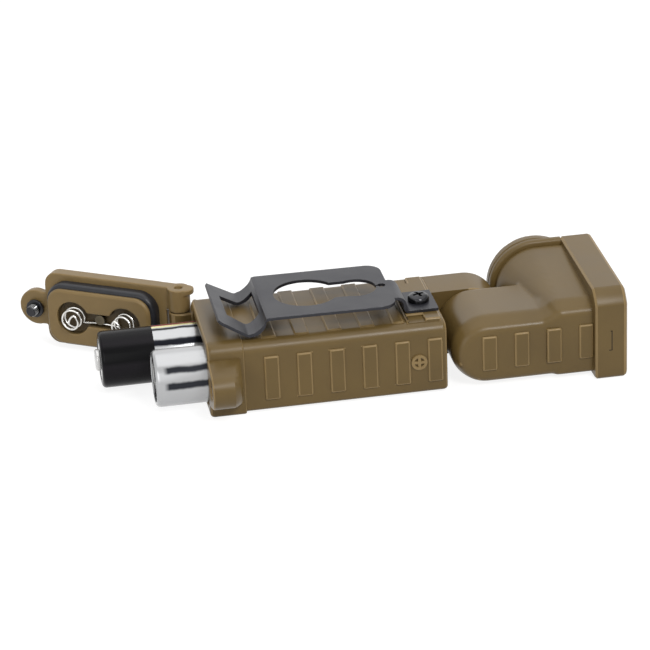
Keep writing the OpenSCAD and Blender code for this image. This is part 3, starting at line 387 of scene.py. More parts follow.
def around_cell(tree, axis_y):
    """Place along a cell in metres, and turn round it from 0 to 1, both on the cell's own surface."""
    split = tree.nodes.new("ShaderNodeSeparateXYZ")
    tree.links.new(own_place(tree), split.inputs["Vector"])
    across = add_math(tree, "SUBTRACT", axis_y * MM, split.outputs["Y"])
    up = add_math(tree, "SUBTRACT", split.outputs["Z"], CELL_HEIGHT * MM)
    turn = add_math(tree, "ARCTAN2", up, across)
    return split.outputs["X"], add_range(tree, turn, -math.pi, math.pi)


def band_stops(bands, ground):
    """Stops of a colour ramp: each band from one share of a turn to another, on a plain ground."""
    soft = 0.011
    stops = [(0.0, ground)]
    for start, end, colour in sorted(bands):
        low, high = sorted((start, end))
        stops += [(low - soft, ground), (low, colour), (high, colour), (high + soft, ground)]
    stops.append((1.0, ground))
    return stops


# Height of the photograph's view above the level, in degrees
VIEW_RISE = 24.3


def seen_at(down):
    """Share of a turn for a line along a cell, which the view shows from -1, its top, to 1, its foot."""
    return (180.0 + VIEW_RISE - math.degrees(math.asin(down))) / 360.0


def jacket_finish(name, axis_y, bands, bands_from, dark_until=None):
    """Foil jacket: bands round the cell from a given place along it, with a dark sleeve at one end; the near
    cell's bands and the sleeve's lighter bands are painted reflections.
    """
    bright, waver, blend = 0.6, 0.03, 0.6
    finish = Finish(name, 0.2, bright, specular=0.1)
    along, turn = around_cell(finish.tree, axis_y)
    grain = finish.group(GRAIN, Size=800.0, Tone_size=160.0)
    wavy = add_math(finish.tree, "MULTIPLY_ADD", grain["Tone"], waver, turn)
    settled = add_math(finish.tree, "SUBTRACT", wavy, waver / 2.0)
    banded = add_range(finish.tree, along, (bands_from - blend) * MM, (bands_from + blend) * MM)
    foil = finish.mix(banded, WHITE_FOIL, finish.ramp(settled, band_stops(bands, WHITE_FOIL)))
    if dark_until is not None:
        sleeve = add_math(finish.tree, "LESS_THAN", along, dark_until * MM)
        foil = finish.mix(sleeve, foil, finish.ramp(turn, SLEEVE_REFLECTION_STOPS))
        finish.put("Metallic", add_math(finish.tree, "MULTIPLY_ADD", sleeve, -bright, bright))
    finish.put("Base Color", foil)
    finish.put("Roughness", finish.scaled(grain["Tone"], 0.16, 0.26))
    finish.bump(grain["Tone"], 0.06, 0.0001)
    return finish.material


WHITE_FOIL = (0.47, 0.475, 0.48)
BLACK_BAND = (0.012, 0.013, 0.018)
PAINTED_REFLECTION_GREY = (0.028, 0.03, 0.036)
RED_LINE = (0.5, 0.02, 0.04)
YELLOW_LINE = (0.75, 0.7, 0.35)
SLEEVE_DARK = (0.003, 0.003, 0.0035)
SLEEVE_REFLECTION = (0.011, 0.0095, 0.012)
FAR_BANDS = [
    (seen_at(-0.985), seen_at(-0.965), RED_LINE),
    (seen_at(-0.94), seen_at(-0.91), YELLOW_LINE),
    (seen_at(-0.85), seen_at(-0.81), BLACK_BAND),
    (seen_at(-0.436), seen_at(-0.26), BLACK_BAND),
]
# The near cell's grey bands are painted reflections of dark surroundings, set where the view shows them.
NEAR_REFLECTION_BANDS = [
    (seen_at(-0.3), seen_at(-0.15), PAINTED_REFLECTION_GREY),
    (seen_at(0.24), seen_at(0.4), PAINTED_REFLECTION_GREY),
]
# Round the far cell's black sleeve, the lighter bands are painted reflections, set where the view shows them.
SLEEVE_REFLECTION_STOPS = [
    (0.0, SLEEVE_DARK),
    (seen_at(0.95), SLEEVE_DARK),
    (seen_at(0.3), SLEEVE_REFLECTION),
    (seen_at(0.15), SLEEVE_DARK),
    (seen_at(-0.3), SLEEVE_DARK),
    (seen_at(-0.5), SLEEVE_REFLECTION),
    (seen_at(-0.8), SLEEVE_DARK),
    (1.0, SLEEVE_REFLECTION),
]

BROWN = ((0.13, 0.084, 0.027), (0.156, 0.102, 0.034))
# Golden colour that paints a highlight along the outer edges of the head and the door.
BROWN_EDGE_HIGHLIGHT = (0.3, 0.205, 0.09)
# Finishes of rounded bevels and picked faces: on brown plastic a lighter golden tone that paints a highlight
# along the edges; on dark steel a slightly lighter steel.
EDGE_FINISHES = {
    "brown_plastic": plastic_finish("painted highlight on brown edges", (0.25, 0.168, 0.068), (0.3, 0.205, 0.088), 0.36),
    "dark_steel": coated_finish("dark steel of the rounded edges", (0.03, 0.03, 0.034), (0.05, 0.05, 0.056), 0.34),
}
HEAD_BROWN = plastic_finish("brown plastic of the head", *BROWN, 0.33, BROWN_EDGE_HIGHLIGHT)
# The door's brown is a lighter copy of the case's brown: painted light for the stronger light that falls on
# the door.
DOOR_BROWN_PAINTED_LIGHT = ((0.216, 0.145, 0.057), (0.254, 0.172, 0.07))
DOOR_FINISHES = (
    plastic_finish("brown plastic of the door, lightened as painted light", *DOOR_BROWN_PAINTED_LIGHT, 0.38, BROWN_EDGE_HIGHLIGHT),
    # Then painted shade at the wells' rims, and darker painted shade deep in the wells.
    plastic_finish("painted shade at the wells' rims", (0.125, 0.084, 0.034), (0.155, 0.105, 0.043), 0.45),
    plastic_finish("painted deep shade in the wells", (0.05, 0.034, 0.014), (0.08, 0.054, 0.022), 0.5),
)
FINISHES = {
    "brown_plastic": plastic_finish("brown moulded plastic", *BROWN, 0.36),
    "dark_steel": coated_finish("dark coated steel", (0.016, 0.016, 0.021), (0.024, 0.024, 0.03), 0.4),
    "black_screw": metal_finish("black oxide", (0.02, 0.02, 0.022), (0.06, 0.06, 0.064), 0.2, 0.9),
    "bright_steel": metal_finish("bright steel", (0.5, 0.5, 0.5), (0.66, 0.65, 0.63), 0.26, 1.0),
    "spring_wire": metal_finish("plated wire", (0.62, 0.61, 0.58), (0.8, 0.79, 0.76), 0.2, 1.0),
    "brass": metal_finish("turned brass", (0.5, 0.33, 0.13), (0.62, 0.44, 0.2), 0.3, 1.0),
    "circuit_board": rubber_finish("solder mask", (0.01, 0.07, 0.03), (0.02, 0.1, 0.045), 0.35),
    "black_rubber": rubber_finish("black rubber", (0.012, 0.012, 0.015), (0.024, 0.025, 0.03), 0.36),
    "clear_lens": glass_finish("clear window", (0.98, 1.0, 1.0), 0.02),
    "reflector_chrome": metal_finish("metallised dish", (0.8, 0.8, 0.8), (0.92, 0.92, 0.92), 0.08, 1.0, 0.01),
    "white_emitter": lamp_finish("emitter phosphor", (0.9, 0.78, 0.3), (0.8, 0.66, 0.2)),
    "red_lamp": lamp_finish("red resin", (0.55, 0.03, 0.02), (0.35, 0.01, 0.01)),
    "blue_lamp": lamp_finish("blue resin", (0.03, 0.08, 0.55), (0.01, 0.03, 0.35)),
    "dark_lamp": lamp_finish("dark resin", (0.05, 0.03, 0.06), (0.02, 0.01, 0.03)),
    "black_plastic": plastic_finish(
        "black moulded plastic", (0.012, 0.012, 0.012), (0.02, 0.02, 0.02), 0.5
    ),
    "dark_jacket": jacket_finish(
        "far cell jacket", FAR_AXIS, FAR_BANDS, FAR_OUT, FAR_OUT + SLEEVE_LENGTH
    ),
    "silver_jacket": jacket_finish("near cell jacket", NEAR_AXIS, NEAR_REFLECTION_BANDS, NEAR_OUT + 2.5),
}
CELL_STEEL = metal_finish("cell steel", (0.3, 0.3, 0.3), (0.45, 0.45, 0.44), 0.22, 1.0)
STUD_STEEL = metal_finish("worn thread", (0.1, 0.1, 0.105), (0.4, 0.4, 0.39), 0.2, 1.0)
# Dark brown of the bezel's moulded line: painted shade.
BEZEL_LINE_SHADE = plastic_finish("painted shade of the bezel line", (0.02, 0.013, 0.005), (0.028, 0.018, 0.007), 0.6)
OWN_FINISHES = {
    "spring_rivet": metal_finish("dull rivet", (0.05, 0.042, 0.028), (0.17, 0.145, 0.1), 0.26, 0.9),
}


# Short ways of building meshes


def mesh_of(name, shape):
    """Mesh of a shape, which is then let go."""
    mesh = bpy.data.meshes.new(name)
    shape.to_mesh(mesh)
    shape.free()
    return mesh


def finish_mesh(name, shape):
    """Mesh of a shape, smooth but for its sharp corners."""
    for face in shape.faces:
        face.smooth = True
    for edge in shape.edges:
        edge.smooth = edge.calc_face_angle(0.0) < SHARP_ANGLE
    return mesh_of(name, shape)


def turn_outwards(shape):
    """Make all faces of a closed shape look outwards."""
    bmesh.ops.recalc_face_normals(shape, faces=shape.faces)


def join_rings(shape, rings):
    """Bands of faces from each ring of corners to the next."""
    made = []
    for first, second in zip(rings, rings[1:]):
        for step in range(len(first)):
            after = (step + 1) % len(first)
            made.append(shape.faces.new((first[step], first[after], second[after], second[step])))
    return made


def close_rings(shape, rings):
    """Bands of faces along rings of corners, with a face on the first ring and on the last."""
    made = join_rings(shape, rings)
    made.append(shape.faces.new(list(reversed(rings[0]))))
    made.append(shape.faces.new(rings[-1]))
    return made


def whole_of(shape):
    """All corners, edges and faces of a shape."""
    return shape.verts[:] + shape.edges[:] + shape.faces[:]


def cut_off(shape, place, ahead):
    """Take away what lies ahead of a plane, and close the cut."""
    cut = bmesh.ops.bisect_plane(
        shape, geom=whole_of(shape), plane_co=place, plane_no=ahead, clear_outer=True
    )
    rim = [part for part in cut["geom_cut"] if isinstance(part, bmesh.types.BMEdge)]
    bmesh.ops.holes_fill(shape, edges=rim)


def solid_shape(node):
    """A copy of a solid's mesh with its corners joined."""
    shape = bmesh.new()
    shape.from_mesh(frame["nodes"][node].data)
    bmesh.ops.remove_doubles(shape, verts=shape.verts, dist=SAME_SPOT)
    return shape


def drop_normals(mesh):
    """Take off the normals that came with a solid's mesh."""
    if "custom_normal" in mesh.attributes:
        mesh.attributes.remove(mesh.attributes["custom_normal"])


def add_object(name, data):
    """An object in the scene: a mesh, a lamp or a camera."""
    piece = bpy.data.objects.new(name, data)
    bpy.context.scene.collection.objects.link(piece)
    return piece


def after_modifiers(piece):
    """Mesh of an object as its modifiers leave it."""
    return bpy.data.meshes.new_from_object(piece.evaluated_get(bpy.context.evaluated_depsgraph_get()))


def melted(mesh, voxel, rounds):
    """One skin round all that a mesh holds, with soft edges and valleys."""
    piece = add_object("melting", mesh)
    melt = piece.modifiers.new("one skin", "REMESH")
    melt.mode = "VOXEL"
    melt.voxel_size = voxel * MM
    calm = piece.modifiers.new("soft edges", "SMOOTH")
    calm.factor = 0.5
    calm.iterations = rounds
    skin = after_modifiers(piece)
    bpy.data.objects.remove(piece)
    return skin


def hollowed(mesh, tool):
    """A mesh with the form of another taken out of it."""
    whole = add_object("whole", mesh)
    taken = add_object("taken", tool)
    opening = whole.modifiers.new("opening", "BOOLEAN")
    opening.operation = "DIFFERENCE"
    opening.object = taken
    cut = after_modifiers(whole)
    for piece in (whole, taken):
        bpy.data.objects.remove(piece)
    return cut


def box_outline(middle, half_wide, half_high, radius, steps):
    """Points round a box with rounded corners, from the places where the roundings' centres lie."""
    points = []
    for side_y, side_z, start in ((1, 1, 0.0), (-1, 1, 90.0), (-1, -1, 180.0), (1, -1, 270.0)):
        for step in range(steps + 1):
            angle = math.radians(start + 90.0 * step / steps)
            y = middle[0] + side_y * half_wide + radius * math.cos(angle)
            z = middle[1] + side_z * half_high + radius * math.sin(angle)
            points.append((y, z))
    return points


def round_points(x, y, z, radius, count):
    """Points of a circle that faces along Y."""
    points = []
    for step in range(count):
        angle = 2.0 * math.pi * step / count
        points.append(Vector((x + radius * math.cos(angle), y, z + radius * math.sin(angle))))
    return points


def bar_points(x, y, low, high):
    """The two ends of an upright bar."""
    return [Vector((x, y, low)), Vector((x, y, high))]


def add_hull(shape, points):
    """Closed skin round a cloud of points, added to a shape."""
    verts = [shape.verts.new(point * MM) for point in points]
    made = bmesh.ops.convex_hull(shape, input=verts)
    loose = made["geom_interior"] + made["geom_unused"]
    spare = {part for part in loose if isinstance(part, bmesh.types.BMVert)}
    bmesh.ops.delete(shape, geom=list(spare), context="VERTS")


def add_bar(shape, low, high):
    """A plain bar from corner to corner, added to a shape."""
    middle = (Vector(low) + Vector(high)) / 2.0
    reach = Vector(high) - Vector(low)
    made = bmesh.ops.create_cube(shape, size=1.0)
    for vert in made["verts"]:
        vert.co = (middle + vert.co * reach) * MM


def add_piece(name, mesh, body, stands_for=()):
    """A visible piece that rides on a body, in place of the solids that it stands for."""
    piece = add_object(name, mesh)
    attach(piece, body)
    if stands_for:
        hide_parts(*stands_for)
    return piece


def add_rounding(piece, width):
    """Rounded edges on a piece."""
    rounding = piece.modifiers.new("rounded edges", "BEVEL")
    rounding.width = width * MM
    rounding.segments = 2
    return rounding


def even_shading(piece):
    """Shading that follows the larger faces beside a rounding."""
    shading = piece.modifiers.new("even shading", "WEIGHTED_NORMAL")
    shading.keep_sharp = True


# Pieces that are their solids with rounded edges


def has_room(edge, face, width):
    """Whether a face is deep enough along the whole of one of its edges to give up a strip of a width."""
    for vert in edge.verts:
        inward = (edge.other_vert(vert).co - vert.co).normalized()
        for beside in vert.link_edges:
            if beside is edge or face not in beside.link_faces:
                continue
            offset = beside.other_vert(vert).co - vert.co
            along = offset.dot(inward)
            if along < -0.7 * offset.length:
                continue
            if (offset - inward * along).length < 1.04 * width:
                return False
    return True


def takes_rounding(edge, width, where):
    """Whether an edge is an outer corner between two faces that leave room for a rounding."""
    if len(edge.link_faces) != 2 or not edge.is_convex:
        return False
    if edge.calc_face_angle(0.0) < ROUNDED_FROM:
        return False
    if where is not None and not where((edge.verts[0].co + edge.verts[1].co) / (2.0 * MM)):
        return False
    return all(has_room(edge, face, width * MM) for face in edge.link_faces)


def soften(node, width, where=None, split=None, shape_up=None, painted_highlight=None):
    """A copy of a solid with its clean outer edges rounded, in the solid's place."""
    shape = solid_shape(node)
    kept = set() if split is None else split(shape)
    bmesh.ops.dissolve_limit(
        shape,
        angle_limit=FLAT_ANGLE,
        use_dissolve_boundaries=False,
        verts=shape.verts,
        edges=[edge for edge in shape.edges if edge not in kept],
    )
    if shape_up is not None:
        shape_up(shape)
    weight = shape.edges.layers.float.new("bevel_weight_edge")
    # Faces that the last argument picks take the lighter edge finish, a painted highlight on brown plastic.
    for face in shape.faces:
        face.smooth = True
        face.material_index = int(painted_highlight is not None and painted_highlight(face))
    for edge in shape.edges:
        if width > 0.0 and takes_rounding(edge, width, where):
            edge[weight] = 1.0
        elif edge.calc_face_angle(0.0) > SHARP_ANGLE:
            edge.smooth = False
    mesh = mesh_of(node + "_soft", shape)
    drop_normals(mesh)
    slot = SLOT_OF[node]
    mesh.materials.append(OWN_FINISHES.get(node, FINISHES[slot]))
    if slot in EDGE_FINISHES:
        mesh.materials.append(EDGE_FINISHES[slot])
    piece = add_piece(node + "_soft", mesh, BODY_OF[node], (node,))
    if width > 0.0:
        rounding = add_rounding(piece, width)
        rounding.limit_method = "WEIGHT"
        rounding.use_clamp_overlap = False
        rounding.harden_normals = True
        # The roundings take the lighter edge finish, on brown plastic a painted highlight.
        if slot in EDGE_FINISHES:
            rounding.material = 1
    even_shading(piece)


def mouth_faces(shape):
    """The end faces of the case round the cells."""
    return [face for face in shape.faces if abs(face.normal.x) > 0.99 and face.calc_center_median().x < MM]


def split_mouth(shape):
    """Cut the end faces round the cells into short lengths, so that no face runs round an opening."""
    for axis, place in MOUTH_CUTS:
        ends = mouth_faces(shape)
        around = {edge for face in ends for edge in face.edges}
        corners = {vert for face in ends for vert in face.verts}
        normal = Vector((0.0, 0.0, 0.0))
        normal[axis] = 1.0
        bmesh.ops.bisect_plane(
            shape, geom=list(corners) + list(around) + ends, plane_co=normal * place * MM, plane_no=normal
        )
    ends = set(mouth_faces(shape))
    kept = set()
    for edge in shape.edges:
        if not all(face in ends for face in edge.link_faces):
            continue
        for axis, place in MOUTH_CUTS:
            if all(abs(vert.co[axis] - place * MM) < SAME_SPOT for vert in edge.verts):
                kept.add(edge)
    return kept


def from_mark(point):
    """Distance from the middle of the polarity mark, along the near side."""
    return math.hypot(point.x - POLARITY_MARK[0], point.z - POLARITY_MARK[1])


def clear_of_small_forms(point):
    """Places on the case that are neither on the polarity mark nor under the clip's block."""
    if point.y < GRIP_NEAR and from_mark(point) < MARK_R:
        return False
    low, high = BLOCK_EDGE
    return not (point.x > BLOCK_FROM and abs(point.y) > BLOCK_SIDE and low < point.z < high)


def face_width(face):
    """Width of a long narrow face."""
    return face.calc_area() / max(edge.calc_length() for edge in face.edges) / MM


def painted_highlight_on_case(face):
    """Narrow faces that turn from the sides of the case to its ends, and the raised polarity mark: these get
    a painted highlight.
    """
    middle = face.calc_center_median() / MM
    if 0.5 < abs(face.normal.x) < 0.87 and face_width(face) < 0.6 and middle.y > -16.1:
        return True
    return middle.y < GRIP_NEAR - 0.1 and from_mark(middle) < MARK_R + 0.1


def painted_highlight_on_bezel(face):
    """Narrow faces that turn from the front of the bezel to its sides, which get a painted highlight."""
    return face_width(face) < 1.3 and 0.25 < abs(face.normal.x) < 0.97


def housing_top(y):
    """Height of the lens housing's top, which falls a little from the side plate to the near side."""
    return HOUSING_TOP - HOUSING_FALL * (PLATE_NEAR - y)


def room_in_housing(y):
    """Height that the housing's wall leaves free inside, under its falling top and its sloped near edge."""
    edge_y = HOUSING_NEAR + EDGE_DEPTH
    return housing_top(max(y, edge_y)) - EDGE_SLOPE * max(0.0, edge_y - y) - WALL


def keep_under_housing(shape):
    """Bring what lies inside the housing under its falling top."""
    for vert in shape.verts:
        if vert.co.x < (BEZEL_BACK + 0.1) * MM:
            vert.co.z = min(vert.co.z, (room_in_housing(vert.co.y / MM) - 0.1) * MM)


def fall_to_near_side(shape):
    """Let the bezel's top fall a little to the near side, and flatten its rounded corner there."""
    centre_y, centre_z = BEZEL_CORNER
    outer_top, inner_top, inner_r = 23.3, 22.2, 2.5
    for vert in shape.verts:
        y, z = vert.co.y / MM, vert.co.z / MM
        if y > centre_y and z > outer_top:
            vert.co.z -= BEZEL_FALL * MM * (PLATE_NEAR - y) / (PLATE_NEAR - centre_y)
        elif y <= centre_y and z >= centre_z - 0.01 and math.hypot(y - centre_y, z - centre_z) > inner_r:
            turn = math.atan2(z - centre_z, centre_y - y) / (0.5 * math.pi)
            flat = math.sin(math.pi * turn)
            vert.co.y += CORNER_FLAT * MM * flat
            vert.co.z -= (CORNER_FALL * (1.0 - turn) + BEZEL_FALL * turn + CORNER_FLAT * flat) * MM
        elif vert.co.x < (BEZEL_BACK + 0.1) * MM and z < inner_top:
            vert.co.z = min(vert.co.z, room_in_housing(y) * MM)


def steepen_clip(shape):
    """Bend the clip's fall from plate to heel into a smooth steep curve."""
    heel, plate, swell, steps = 6.95, 10.75, 1.1, 12
    for step in range(1, steps):
        level = heel + (plate - heel) * step / steps
        bmesh.ops.bisect_plane(
            shape, geom=whole_of(shape), plane_co=(level * MM, 0.0, 0.0), plane_no=(1.0, 0.0, 0.0)
        )
    for vert in shape.verts:
        share = (vert.co.x / MM - heel) / (plate - heel)
        if 0.0 < share < 1.0:
            vert.co.x += swell * MM * math.sin(math.pi * share)


# Pieces of the door


def door_point(x, y, z):
    """A place in the door's own directions, carried to where the open door is, in metres."""
    return (HINGE + Matrix.Rotation(-DOOR_OPEN, 3, "Z") @ Vector((x, y, z))) * MM


def painted_well_shade(point):
    """Number of the finish at a place on the door: plain, painted shade at the rim of a well, or darker
    painted shade deep in a well.
    """
    wells = (NEAR_AXIS - HINGE.y, FAR_AXIS - HINGE.y)
    floor = FLANGE_IN + PLUG_DEPTH - WELL_DEPTH
    away = min(math.hypot(point.y - well, point.z - MID_HEIGHT) for well in wells)
    in_channel = min(wells) < point.y < max(wells) and abs(point.z - MID_HEIGHT) < CHANNEL_HALF
    if not floor - 0.15 < point.x < WELL_RIM or (away > WELL_R + 0.15 and not in_channel):
        return 0
    return 2 if point.x < WELL_DEEP else 1


def make_door():
    """The door as one casting with soft edges, melted in the door's own directions."""
    to_place = Matrix.Translation(HINGE * MM) @ Matrix.Rotation(-DOOR_OPEN, 4, "Z")
    mesh = frame["nodes"]["battery_door"].data.copy()
    mesh.transform(to_place.inverted())
    casting = melted(mesh, 0.2, 7)
    casting.name = "door_casting"
    casting.materials.clear()
    for finish in DOOR_FINISHES:
        casting.materials.append(finish)
    for face in casting.polygons:
        face.use_smooth = True
        # Faces in the wells and their channel get painted shade, darker deeper down.
        face.material_index = painted_well_shade(face.center / MM)
    casting.transform(to_place)
    add_piece("door_casting", casting, "door", ("battery_door",))


def swept_tube(name, points, radius, sides):
    """Round wire along a line of points, with domed ends."""
    shape = bmesh.new()
    last = len(points) - 1
    side = None
    rings = []
    for index, point in enumerate(points):
        ahead = (points[min(index + 1, last)] - points[max(index - 1, 0)]).normalized()
        if side is None:
            side = ahead.orthogonal().normalized()
        side = (side - ahead * side.dot(ahead)).normalized()
        other = ahead.cross(side)
        ring = []
        for step in range(sides):
            angle = 2.0 * math.pi * step / sides
            offset = side * math.cos(angle) + other * math.sin(angle)
            ring.append(shape.verts.new(point + offset * radius))
        rings.append(ring)
    join_rings(shape, rings)
    for ring, end, beside in ((rings[0], points[0], points[1]), (rings[-1], points[-1], points[-2])):
        peak = shape.verts.new(end + (end - beside).normalized() * radius * 0.6)
        for step in range(sides):
            shape.faces.new((ring[step], ring[(step + 1) % sides], peak))
    turn_outwards(shape)
    mesh = mesh_of(name, shape)
    for face in mesh.polygons:
        face.use_smooth = True
    return mesh


def coil_points(axis_y, start, spin):
    """Points of one spring from its seat turn to its top turn, then across its middle."""
    seat = FLANGE_IN + PLUG_DEPTH - WELL_DEPTH + WIRE_ROOM + WIRE_GAP
    count = round(COIL_TURNS * COIL_STEPS)

    def place(along, out, turn):
        return Vector((along, axis_y + out * math.cos(turn), MID_HEIGHT + out * math.sin(turn)))

    points = []
    for index in range(count + 1):
        share = index / count
        radius = (COIL_SEAT_D + (COIL_TOP_D - COIL_SEAT_D) * share) / 2.0
        angle = math.radians(start) + spin * 2.0 * math.pi * COIL_TURNS * share
        points.append(place(seat + COIL_HIGH * share, radius, angle))
    for share in (0.75, 0.5, 0.25, 0.0, -0.2):
        points.append(place(seat + COIL_HIGH, radius * share, angle + 0.5 * spin * (1.0 - share)))
    return points


def make_spring():
    """One wire: a coil over each well and the bridge between them, which passes under the rivet."""
    near = coil_points(NEAR_AXIS - HINGE.y, -40.0, 1.0)
    far = coil_points(FAR_AXIS - HINGE.y, 220.0, -1.0)
    bridge_x = FLANGE_IN + PLUG_DEPTH - BRIDGE_DEPTH + WIRE_ROOM + WIRE_GAP
    bridge_z = MID_HEIGHT - RIVET_R - WIRE_ROOM - WIRE_GAP / 2.0
    bridge = []
    for index in range(1, 10):
        share = index / 10.0
        dip = math.sin(math.pi * share)
        x = near[0].x * (1.0 - dip) + bridge_x * dip
        y = near[0].y * (1.0 - share) + far[0].y * share
        z = near[0].z * (1.0 - dip) + bridge_z * dip
        bridge.append(Vector((x, y, z)))
    route = list(reversed(near)) + bridge + far
    mesh = swept_tube("door_spring_wire", [door_point(*point) for point in route], WIRE_R * MM, 12)
    mesh.materials.append(FINISHES["spring_wire"])
    add_piece("door_spring_wire", mesh, "door", ("door_spring",))


def make_gasket():
    """Soft seal round the plug, with a rounded lip."""
    shape = bmesh.new()
    seat = [(0.0, -0.3), (0.0, 0.85), (0.5, 0.9), (1.8, 0.9)]
    lip = [(2.3, 0.8), (2.7, 0.5), (2.85, 0.2), (2.85, -0.3)]
    half_wide = PLUG_WIDE / 2.0 - PLUG_R
    half_high = PLUG_HIGH / 2.0 - PLUG_R
    rings = []
    for depth, out in seat + lip:
        outline = box_outline(PLUG_MIDDLE, half_wide, half_high, PLUG_R + out, 12)
        rings.append([shape.verts.new(door_point(FLANGE_IN + depth, y, z)) for y, z in outline])
    join_rings(shape, rings + rings[:1])
    turn_outwards(shape)
    mesh = finish_mesh("door_seal", shape)
    mesh.materials.append(FINISHES["black_rubber"])
    add_piece("door_seal", mesh, "door", ("door_gasket",))


def add_thread(shape):
    """Helical thread that tapers in at the stud's tip. Returns its faces."""
    pitch, depth, sides, rows = 0.6, 0.28, 36, 40
    start = STUD_FROM - 0.1
    rings = []
    for row in range(rows + 1):
        along = start + (STUD_TO - STUD_FROM + 0.1) * row / rows
        taper = min(1.0, (STUD_TO - along) / 0.35)
        ring = []
        for step in range(sides):
            turn = step / sides
            wave = (along / pitch - turn) % 1.0
            radius = STUD_R - depth * abs(2.0 * wave - 1.0) - 0.25 * (1.0 - taper)
            angle = 2.0 * math.pi * turn
            y = -LATCH_RUN + radius * math.cos(angle)
            ring.append(shape.verts.new(door_point(along, y, MID_HEIGHT + radius * math.sin(angle))))
        rings.append(ring)
    made = close_rings(shape, rings)
    bmesh.ops.recalc_face_normals(shape, faces=made)
    return made


def make_latch_screw():
    """Thumb screw of the door: its own head, and a stud with a cut thread, worn bright at its crests."""
    shape = solid_shape("latch_screw")
    ahead = (door_point(1.0, 0.0, 0.0) - door_point(0.0, 0.0, 0.0)).normalized()
    foot = door_point(STUD_FROM, -LATCH_RUN, MID_HEIGHT)
    cut_off(shape, foot, ahead)
    thread = set(add_thread(shape))
    for face in shape.faces:
        away = face.calc_center_median() - foot
        radius = (away - ahead * away.dot(ahead)).length / MM
        face.material_index = int(face in thread and radius > CREST_R)
    mesh = finish_mesh("latch_stud", shape)
    drop_normals(mesh)
    mesh.materials.append(FINISHES["black_screw"])
    mesh.materials.append(STUD_STEEL)
    add_piece("latch_stud", mesh, BODY_OF["latch_screw"], ("latch_screw",))


# Cells and the clip's screw


def lathe(name, rows, place, sides):
    """Turned piece: rows of distance along the axis, radius and finish, put in place by a function."""
    shape = bmesh.new()
    rings = []
    for along, radius, _ in rows:
        ring = []
        for step in range(sides if radius > 0.0 else 1):
            angle = 2.0 * math.pi * step / sides
            ring.append(shape.verts.new(place(along, radius * math.cos(angle), radius * math.sin(angle))))
        rings.append(ring)
    for first, second, row in zip(rings, rings[1:], rows[1:]):
        for step in range(sides):
            after = (step + 1) % sides
            corners = [first[step % len(first)], first[after % len(first)]]
            corners += [second[after % len(second)], second[step % len(second)]]
            face = shape.faces.new(list(dict.fromkeys(corners)))
            face.material_index = row[2]
    turn_outwards(shape)
    return finish_mesh(name, shape)


def make_cell(node, name, outer_end, slot):
    """One cell: its outer end as given, then the jacket down to its rounded inner end."""
    low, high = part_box(node)
    middle = (Vector(low) + Vector(high)) / 2.0
    radius = (high[2] - low[2]) / 2.0 / MM
    length = (high[0] - low[0]) / MM
    rows = [(along, min(out, radius), kind) for along, out, kind in outer_end]
    rows += [(length - 0.9, radius, 0), (length - 0.25, radius - 0.3, 0)]
    rows += [(length, radius - 0.9, 0), (length, 0.0, 1)]

    def place(along, across, up):
        return Vector((low[0] + along * MM, middle.y + across * MM, middle.z + up * MM))

    mesh = lathe(name, rows, place, 96)
    for finish in (FINISHES[slot], CELL_STEEL, FINISHES["black_plastic"]):
        mesh.materials.append(finish)
    add_piece(name, mesh, BODY_OF[node], (node,))


def make_cells():
    """The two cells: a rolled rim round a sunk base on one, and film folded in round the nub on the other."""
    sunk_base = [(0.55, 0.0, 1), (0.55, 4.7, 1), (0.35, 5.0, 1)]
    seal = [(1.0, 5.1, 2), (1.0, 5.75, 2), (0.3, 5.8, 2)]
    rolled_rim = [(0.05, 6.0, 0), (0.0, 6.25, 0), (0.1, 6.6, 0), (0.45, 6.95, 0), (1.0, 7.15, 0)]
    make_cell("near_cell", "near_cell_jacket", sunk_base + seal + rolled_rim, "silver_jacket")
    nub_end = [(0.12, 0.0, 1), (0.12, 5.1, 1)]
    folded_film = [(0.0, 5.2, 0), (0.0, 6.1, 0), (0.12, 6.6, 0), (0.5, 7.0, 0), (0.95, 7.15, 0)]
    make_cell("far_cell", "far_cell_jacket", nub_end + folded_film, "dark_jacket")


def cross_recess(centre, top):
    """Four-armed plug that narrows downwards, for the recess of a screw."""
    turn = math.radians(20.0)
    shape = bmesh.new()
    rings = []
    for depth, arm, half in ((0.2, 1.65, 0.42), (-0.95, 0.8, 0.28)):
        outline = []
        for quarter in range(4):
            angle = turn + 0.5 * math.pi * quarter
            for x, y in ((arm, -half), (arm, half), (half, half)):
                spun_x = x * math.cos(angle) - y * math.sin(angle)
                spun_y = x * math.sin(angle) + y * math.cos(angle)
                spot = (centre.x + spun_x * MM, centre.y + spun_y * MM, (top + depth) * MM)
                outline.append(shape.verts.new(spot))
        rings.append(outline)
    close_rings(shape, rings[::-1])
    turn_outwards(shape)
    return mesh_of("screw_recess", shape)


